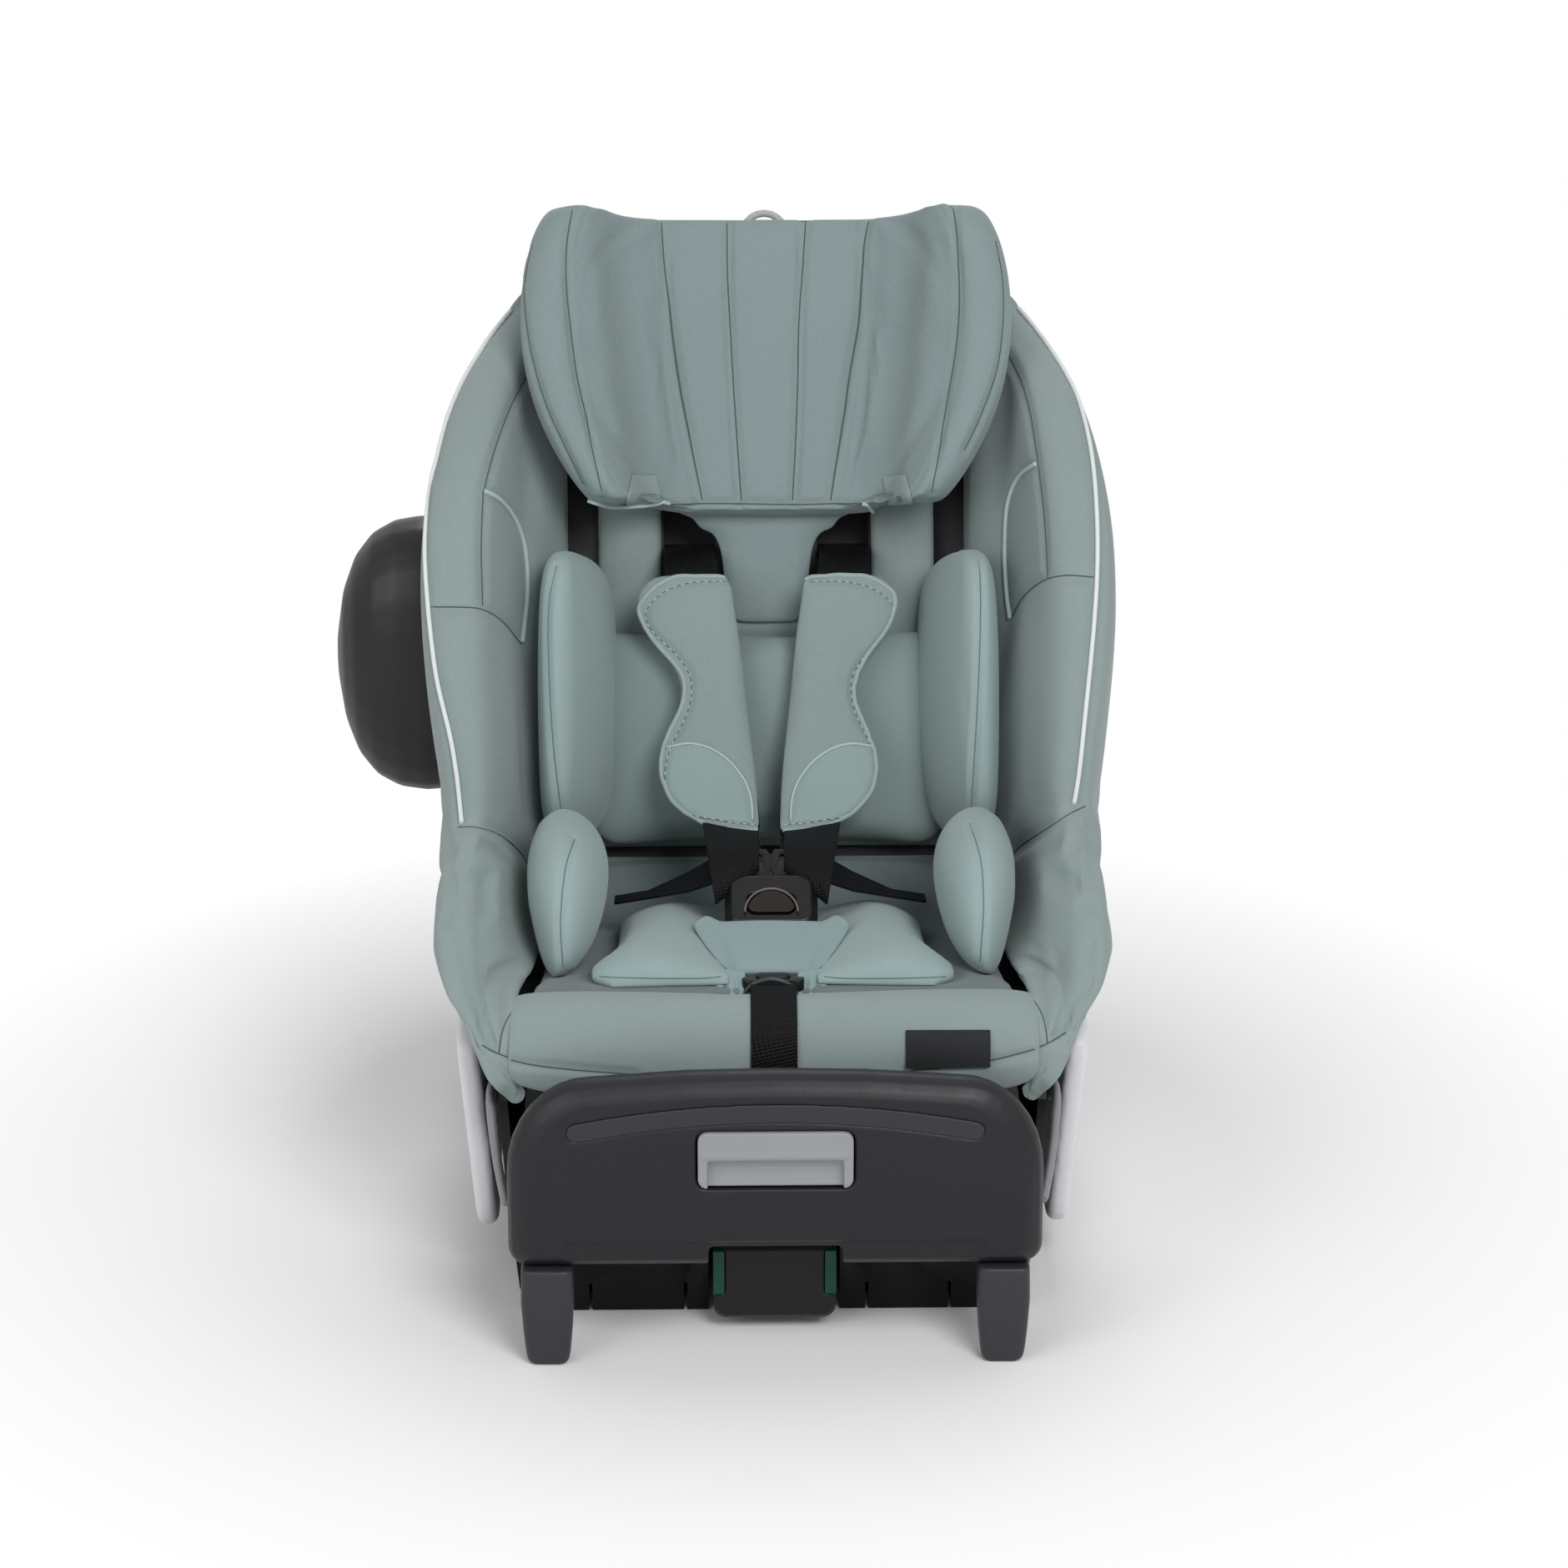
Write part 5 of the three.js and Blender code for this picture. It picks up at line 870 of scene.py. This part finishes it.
piece, paths = softPiece("headrest_pad", "headrestPad", "headrest", "cover_fabric", cap=headrest["cap"],
                         seams=headrest["seams"] + headrest["edges"] + [headrest["bottom"]],
                         groove=headrest["groove"])
cordsOn(piece, "headrestSeams", paths, headrest["thread"], "seam")
surface = surfaceOf(piece)
pressed(piece, [pixelPath(surface, crease) for crease in headrest["creases"]], *headrest["crease"])
hems = [pixelPath(surface, hem) for hem in headrest["hems"]]
cordsOn(piece, "headrestHems", hems, headrest["hem"], "piping", headrest["hemLift"])
for name, outline in zip(("left", "right"), headrest["tabs"]):
    # the tabs take the lighter knit, a painted highlight
    tabOn(piece, "headrestTab_" + name, outline, headrest["heart"], "tab")
piece, paths = softPiece("headrest_tongue", "headrestFlap", "headrest", "cover_fabric", cap=0.001, pressure=2.0)
top = max(v.co.z for v in piece.data.vertices)
for vertex in piece.data.vertices:            # its upper edge runs up into the pad
    up = max(0.0, 1 - (top - vertex.co.z) / headrest["flapZone"])
    vertex.co.x *= 1 + headrest["flapFlare"] * up
    vertex.co += Vector(headrest["flapRise"]) * up

pad = {
    "left": {
        "border": [(880, 697), (850, 696), (822, 699), (800, 707), (783, 720), (773, 735), (774, 745), (783, 759),
                   (810, 785), (825, 806), (829, 826), (825, 850), (815, 873), (805, 893), (798, 917), (797, 940),
                   (802, 957), (813, 970), (830, 978), (852, 982), (881, 986), (908, 988)],
        "binding": [(884, 686), (850, 686), (820, 688), (795, 698), (777, 712), (765, 730), (765, 743), (774, 760),
                    (802, 788), (817, 808), (821, 826), (817, 848), (806, 871), (796, 891), (789, 916), (788, 940),
                    (793, 960), (806, 977), (826, 986), (851, 991), (881, 995), (911, 997)],
        "patch": [(800, 896), (830, 892), (860, 902), (885, 925), (899, 953), (902, 983)],
        "patchArea": [(800, 896), (830, 892), (860, 902), (885, 925), (899, 953), (902, 986), (852, 982), (830, 978),
                      (813, 970), (802, 957), (797, 940), (798, 917)],
    },
    "cap": 0.0025, "groove": (0.0045, 0.0011), "bindingCord": 0.0016, "thread": 0.0003,
    "stitchLift": 0.0002, "pipe": 0.0008, "pipeLift": 0.0005,
}
pad["right"] = {name: mirrored(line) for name, line in pad["left"].items()}
for side in ("left", "right"):
    lines = pad[side]
    piece, paths = softPiece("shoulder_pad_" + side, "shoulderPad_" + side, "pads", "pad_fabric", cap=pad["cap"],
                             seams=[lines["border"], lines["patch"]], groove=pad["groove"])
    patchOn(piece, lines["patchArea"], "patch")
    surface = surfaceOf(piece)
    binding, patch = [pixelPath(surface, lines["binding"])], [pixelPath(surface, lines["patch"])]
    cordsOn(piece, "padBinding_" + side, binding, pad["bindingCord"], "binding")
    cordsOn(piece, "padSeams_" + side, paths, pad["thread"], "seam")
    stitchesOn(piece, "padStitches_" + side, paths, "stitch", pad["stitchLift"])
    cordsOn(piece, "padPatchPiping_" + side, patch, pad["pipe"], "piping", pad["pipeLift"])

crotch = {
    "gathers": [
        [(842, 1106), (856, 1120), (866, 1140), (874, 1158)],
        [(1010, 1106), (996, 1120), (986, 1140), (978, 1158)],
    ],
    "cap": 0.003, "groove": (0.006, 0.0016), "hold": 0.006,
    "notchFrom": -0.425, "notchTo": -0.388,   # along Y
    "notchWidth": 0.042, "notchDrop": (0, -0.006, -0.0035), "earEdge": 0.012,
}
piece, paths = softPiece("crotch_pad", "crotchPad", "crotch", "pad_fabric", cap=crotch["cap"],
                         seams=crotch["gathers"], groove=crotch["groove"], hold=crotch["hold"])
top, width, drop = crotch["notchFrom"], crotch["notchWidth"], Vector(crotch["notchDrop"])
for vertex in piece.data.vertices:            # the upper edge dips between its two ears
    up = max(0.0, (vertex.co.y - top) / (crotch["notchTo"] - top))
    inside = min(1.0, max(0.0, (width - abs(vertex.co.x)) / crotch["earEdge"]))
    vertex.co += drop * up * inside * inside * (3 - 2 * inside)

harness = {
    # each panel: left top, right top, right bottom, left bottom in the photograph, with its depth along Y
    "ends": [(842, 985, -0.288), (910, 992, -0.288), (910, 1044, -0.3475), (858, 1085, -0.3675)],
    "gathers": [(857, 1160, -0.447), (893, 1166, -0.452), (895, 1197, -0.469), (861, 1197, -0.467)],
    "arch": [(892, 1199), (895, 1188), (905, 1179), (925, 1174), (944, 1179), (953, 1188), (956, 1199)],
    "archDepth": -0.4705, "archRadius": 0.0014, "archSides": 3,
    "webEdge": 0.0004, "tagEdge": 0.0006, "webThick": 0.0013, "endCrown": 0.0015, "endEase": 2.2,
    "gatherThick": 0.002, "gatherFolds": 5, "gatherRipple": 0.0013,
}


def flatPiece(node, pieceName, finish, slot, width, body=None):
    piece = copyOf(node, pieceName)
    bevelled(piece, width, limits["web"])
    smoothBy(piece, limits["web"])
    return settle(piece, finish, slot, body, node)


for node in ("hip_strap_left", "hip_strap_right", "crotch_strap", "yoke_strap", "adjuster_strap"):
    flatPiece(node, node + "Web", "webbing", "webbing", harness["webEdge"], "seat")
for side in ("left", "right"):
    low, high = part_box("shoulder_strap_" + side)
    strap = flatPiece("shoulder_strap_" + side, "shoulderStrapWeb_" + side, "webbing", "webbing",
                      harness["webEdge"])
    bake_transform(strap)


def atDepth(x, y, depth):                     # the point of a pixel's ray at one depth
    start, way = pixelRay(x, y)
    return start + way * ((depth - start.y) / way.y)


def panelAt(pieceName, corners, finish, slot, body, thick, crown=0.0, folds=0, ripple=0.0, cells=14, ease=1.0):
    panel = squareOf(pieceName, cells)
    spots = [Vector(corner) for corner in corners]
    for vertex in panel.data.vertices:
        u, v = vertex.co.x + 0.5, 0.5 - vertex.co.y
        upper, lower = spots[0] * (1 - u) + spots[1] * u, spots[3] * (1 - u) + spots[2] * u
        spot = upper * (1 - v) + lower * v
        spot.z = upper.z + (lower.z - upper.z) * (1 - (1 - v) ** ease)
        wave = math.sin(math.pi * folds * u) * math.sin(math.pi * v) ** 0.5
        spot.z -= crown * math.sin(math.pi * u) + ripple * wave
        vertex.co = atDepth(*spot)
    applied(panel, "SOLIDIFY", thickness=thick, offset=0)
    inEditMode(panel, (bpy.ops.mesh.normals_make_consistent, {"inside": False}))
    bevelled(panel, thick * sewing["round"], limits["mould"])
    smoothBy(panel, limits["panel"])
    return settle(panel, finish, slot, body)


def otherSide(corners):
    flipped = [(2 * viewpoint["middle"] - x, y, depth) for x, y, depth in corners]
    return [flipped[1], flipped[0], flipped[3], flipped[2]]


for side, ends, gathers in (("left", harness["ends"], harness["gathers"]),
                            ("right", otherSide(harness["ends"]), otherSide(harness["gathers"]))):
    panelAt("strapEnd_" + side, ends, "webbing", "webbing", "seat", harness["webThick"],
            crown=harness["endCrown"], ease=harness["endEase"])
    panelAt("crotchGather_" + side, gathers, "crotch", "pad_fabric", "seat", harness["gatherThick"],
            folds=harness["gatherFolds"], ripple=harness["gatherRipple"])

flatPiece("front_tag", "frontTagBlank", "tag", "tag_fabric", harness["tagEdge"], "seat")
print("harness and tag made")

# finish, slot, bevel or mould; a name that ends in _ stands for a left and a right part
hardFinish = {
    "bar_panel": ("bar", "bar_plastic", (0.0015, 4)),
    "bar_inlay": ("inlay", "trim_plastic", (0.0009, 3)),
    "bar_leg_": ("barLeg", "bar_plastic", (0.0013, 5)),
    "bar_tube_": ("steel", "steel", 0.0006),
    "release_handle": ("handle", "silver_plastic", (0.0009, 4)),
    "side_pod": ("pod", "pod_plastic", (0.0025, 12)),
    "pod_mount": ("pod", "trim_plastic", 0.0008),
    "buckle_housing": ("tongue", "webbing", (0.0008, 4)),
    "tongue_": ("tongue", "blade_metal", 0.0006),
    "adjuster_housing": ("tongue", "trim_plastic", (0.0006, 4)),
    "adjuster_button": ("base", "webbing", 0.0004),
    "harness_yoke": ("steel", "steel", 0.0005),
    "headrest_loop": ("loop", "loop_plastic", (0.0006, 4)),
    "headrest_shell": ("shell", "shell_plastic", 0.0008),
    "recline_lever": ("bar", "trim_plastic", (0.0009, 3)),
    "cradle_rail_": ("base", "trim_plastic", 0.0008),
    "runner_": ("shell", "shell_plastic", 0.0008),
    "side_plate_": ("plate", "plate_plastic", (0.0018, 5)),
    "guide_arm_": ("arm", "arm_plastic", (0.001, 6)),
    "leg_outer_tube": ("leg", "steel", 0.0008),
    "leg_inner_tube": ("leg", "leg_metal", 0.0008),
    "leg_foot": ("base", "bar_plastic", (0.0011, 5)),
    "leg_lock_button": ("button", "button_plastic", 0.0006),
    "foot_indicator": ("green", "green_plastic", 0.0006),
    "leg_hinge_pin": ("steel", "steel", 0.0005),
    "rear_cover": ("shell", "shell_plastic", (0.002, 5)),
    "seat_shell": ("shell", "shell_plastic", 0.0),
    "base_shell": ("base", "base_plastic", 0.0),
}
for node, settings in hardFinish.items():
    for side in ("left", "right") if node.endswith("_") else ("",):
        hardPiece(node + side, *settings)

buckle = {
    "lean": 28,                               # degrees, the slope of the button's face
    "tall": 0.017, "chops": (24, 42, 60, 76), "mould": (0.0004, 5),
    "rim": 0.0008, "rimShare": 1.1, "rimLift": 0.0026, "rimStep": 6,
}
low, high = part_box("buckle_button")
lean, half = math.radians(buckle["lean"]), (high.x - low.x) / 2
uphill = Vector((0, math.cos(lean), math.sin(lean)))
foot = (Vector(low) + Vector(high)) / 2 - uphill * buckle["tall"] / 2


def moonSpot(degrees, share=1.0):             # a point of the button's rounded edge
    turn = math.radians(degrees)
    across = Vector((half * math.cos(turn), 0, 0))
    return foot + (across + uphill * buckle["tall"] * math.sin(turn)) * share


button = copyOf("buckle_button", "buckleButton")
for chop in buckle["chops"]:
    for turn in (chop, 180 - chop):
        angle = math.radians(turn)
        out = Vector((math.cos(angle) / half, 0, 0)) + uphill * math.sin(angle) / buckle["tall"]
        inEditMode(button, (bpy.ops.mesh.bisect, {"plane_co": moonSpot(turn), "plane_no": out.normalized(),
                                                  "use_fill": True, "clear_outer": True}))
moulded(button, *buckle["mould"])
smoothBy(button, limits["mould"])
settle(button, "moon", "button_plastic", bodyOf["buckle_button"], "buckle_button")
# a light cord just outside the button's rounded edge, a painted highlight on its moulded rim
outwards = Vector((0, -uphill.z, uphill.y))
rim = [moonSpot(turn, buckle["rimShare"]) + outwards * buckle["rimLift"]
       for turn in range(0, 181, buckle["rimStep"])]
tubesOn("buckleRim", [rim], buckle["rim"], "rim", "webbing", "seat")
line = rounded([(*spot, 0) for spot in harness["arch"]], viewpoint["step"])
arch = [atDepth(p.x, p.y, harness["archDepth"]) for p in line]
tubesOn("adjusterArch", [arch], harness["archRadius"], "arch", "trim_plastic", "seat", harness["archSides"])
print("hard parts dressed")

studio = {
    "floor": 16.0, "drop": 0.0004, "white": 0.95, "middle": (0, -0.28, 0),
    "clear": (0.31, 0.62),                    # the floor turns plain white between these distances
    "floorRough": 0.9, "floorSpecular": 0.1, "floorGrain": (3.0, 2.0), "floorDrift": 0.01,
    "world": 0.4, "glossy": 0.7,
    "lamps": {                                # place, size, power
        "keyLamp": ((1.0, -2.8, 2.4), 1.5, 55),
        "fillLamp": ((-1.8, -2.4, 1.6), 2.0, 20),
        "rimLamp": ((0.2, 1.9, 2.4), 1.6, 20),
    },
}


def addFloor():
    bpy.ops.mesh.primitive_plane_add(size=studio["floor"], location=(0, 0, -studio["drop"]))
    floor = bpy.context.object
    floor.name = "studioFloor"
    material, shader, place = startFinish("studioFloorPaint", Roughness=studio["floorRough"],
                                          Specular_IOR_Level=studio["floorSpecular"])
    tree = material.node_tree
    wireUp(shader, Base_Color=place.grain(*studio["floorGrain"]) * studio["floorDrift"] + studio["white"])
    reach = place.node("VectorMath", {"operation": "DISTANCE"}, {0: place, 1: studio["middle"]}, "Value")
    near, far = studio["clear"]
    fade = reach.node("MapRange", None, {"Value": reach, "From Min": near, "From Max": far})
    seen = Wire(tree).node("LightPath", None, None, "Is Camera Ray")
    glow = Wire(tree).node("Emission", None, {"Color": (1, 1, 1, 1), "Strength": 1.0})
    blend = Wire(tree).node("MixShader", None, {0: fade * seen})
    tree.links.new(shader.outputs[0], blend.socket.node.inputs[1])
    tree.links.new(glow.socket, blend.socket.node.inputs[2])
    output = next(n for n in tree.nodes if n.type == "OUTPUT_MATERIAL")
    tree.links.new(blend.socket, output.inputs["Surface"])
    floor.data.materials.append(material)


def addLamp(name, place, size, power):
    spot = Vector(place)
    way = spot - Vector(viewpoint["target"])
    bpy.ops.object.light_add(type="AREA", location=spot, rotation=way.to_track_quat("Z", "Y").to_euler())
    lamp = bpy.context.object
    lamp.name = name
    lamp.data.shape = "DISK"
    lamp.data.size = size
    lamp.data.energy = power


def lightRoom():
    world = bpy.data.worlds.new("studioRoom")
    bpy.context.scene.world = world
    world.use_nodes = True
    tree = world.node_tree
    room = next(n for n in tree.nodes if n.type == "BACKGROUND")
    seen = Wire(tree).node("LightPath", None, None, "Is Camera Ray")
    glossy = Wire(tree, seen.socket.node.outputs["Is Glossy Ray"])
    through = Wire(tree, seen.socket.node.outputs["Is Transmission Ray"])
    plain = seen.maths("MAXIMUM", seen.maths("MAXIMUM", seen, glossy * studio["glossy"]), through)
    strength = plain * (1 - studio["world"]) + studio["world"]
    tree.links.new(strength.socket, room.inputs["Strength"])
    room.inputs["Color"].default_value = (1, 1, 1, 1)


addFloor()
for name, settings in studio["lamps"].items():
    addLamp(name, *settings)
lightRoom()
bpy.context.scene.view_settings.view_transform = "Standard"
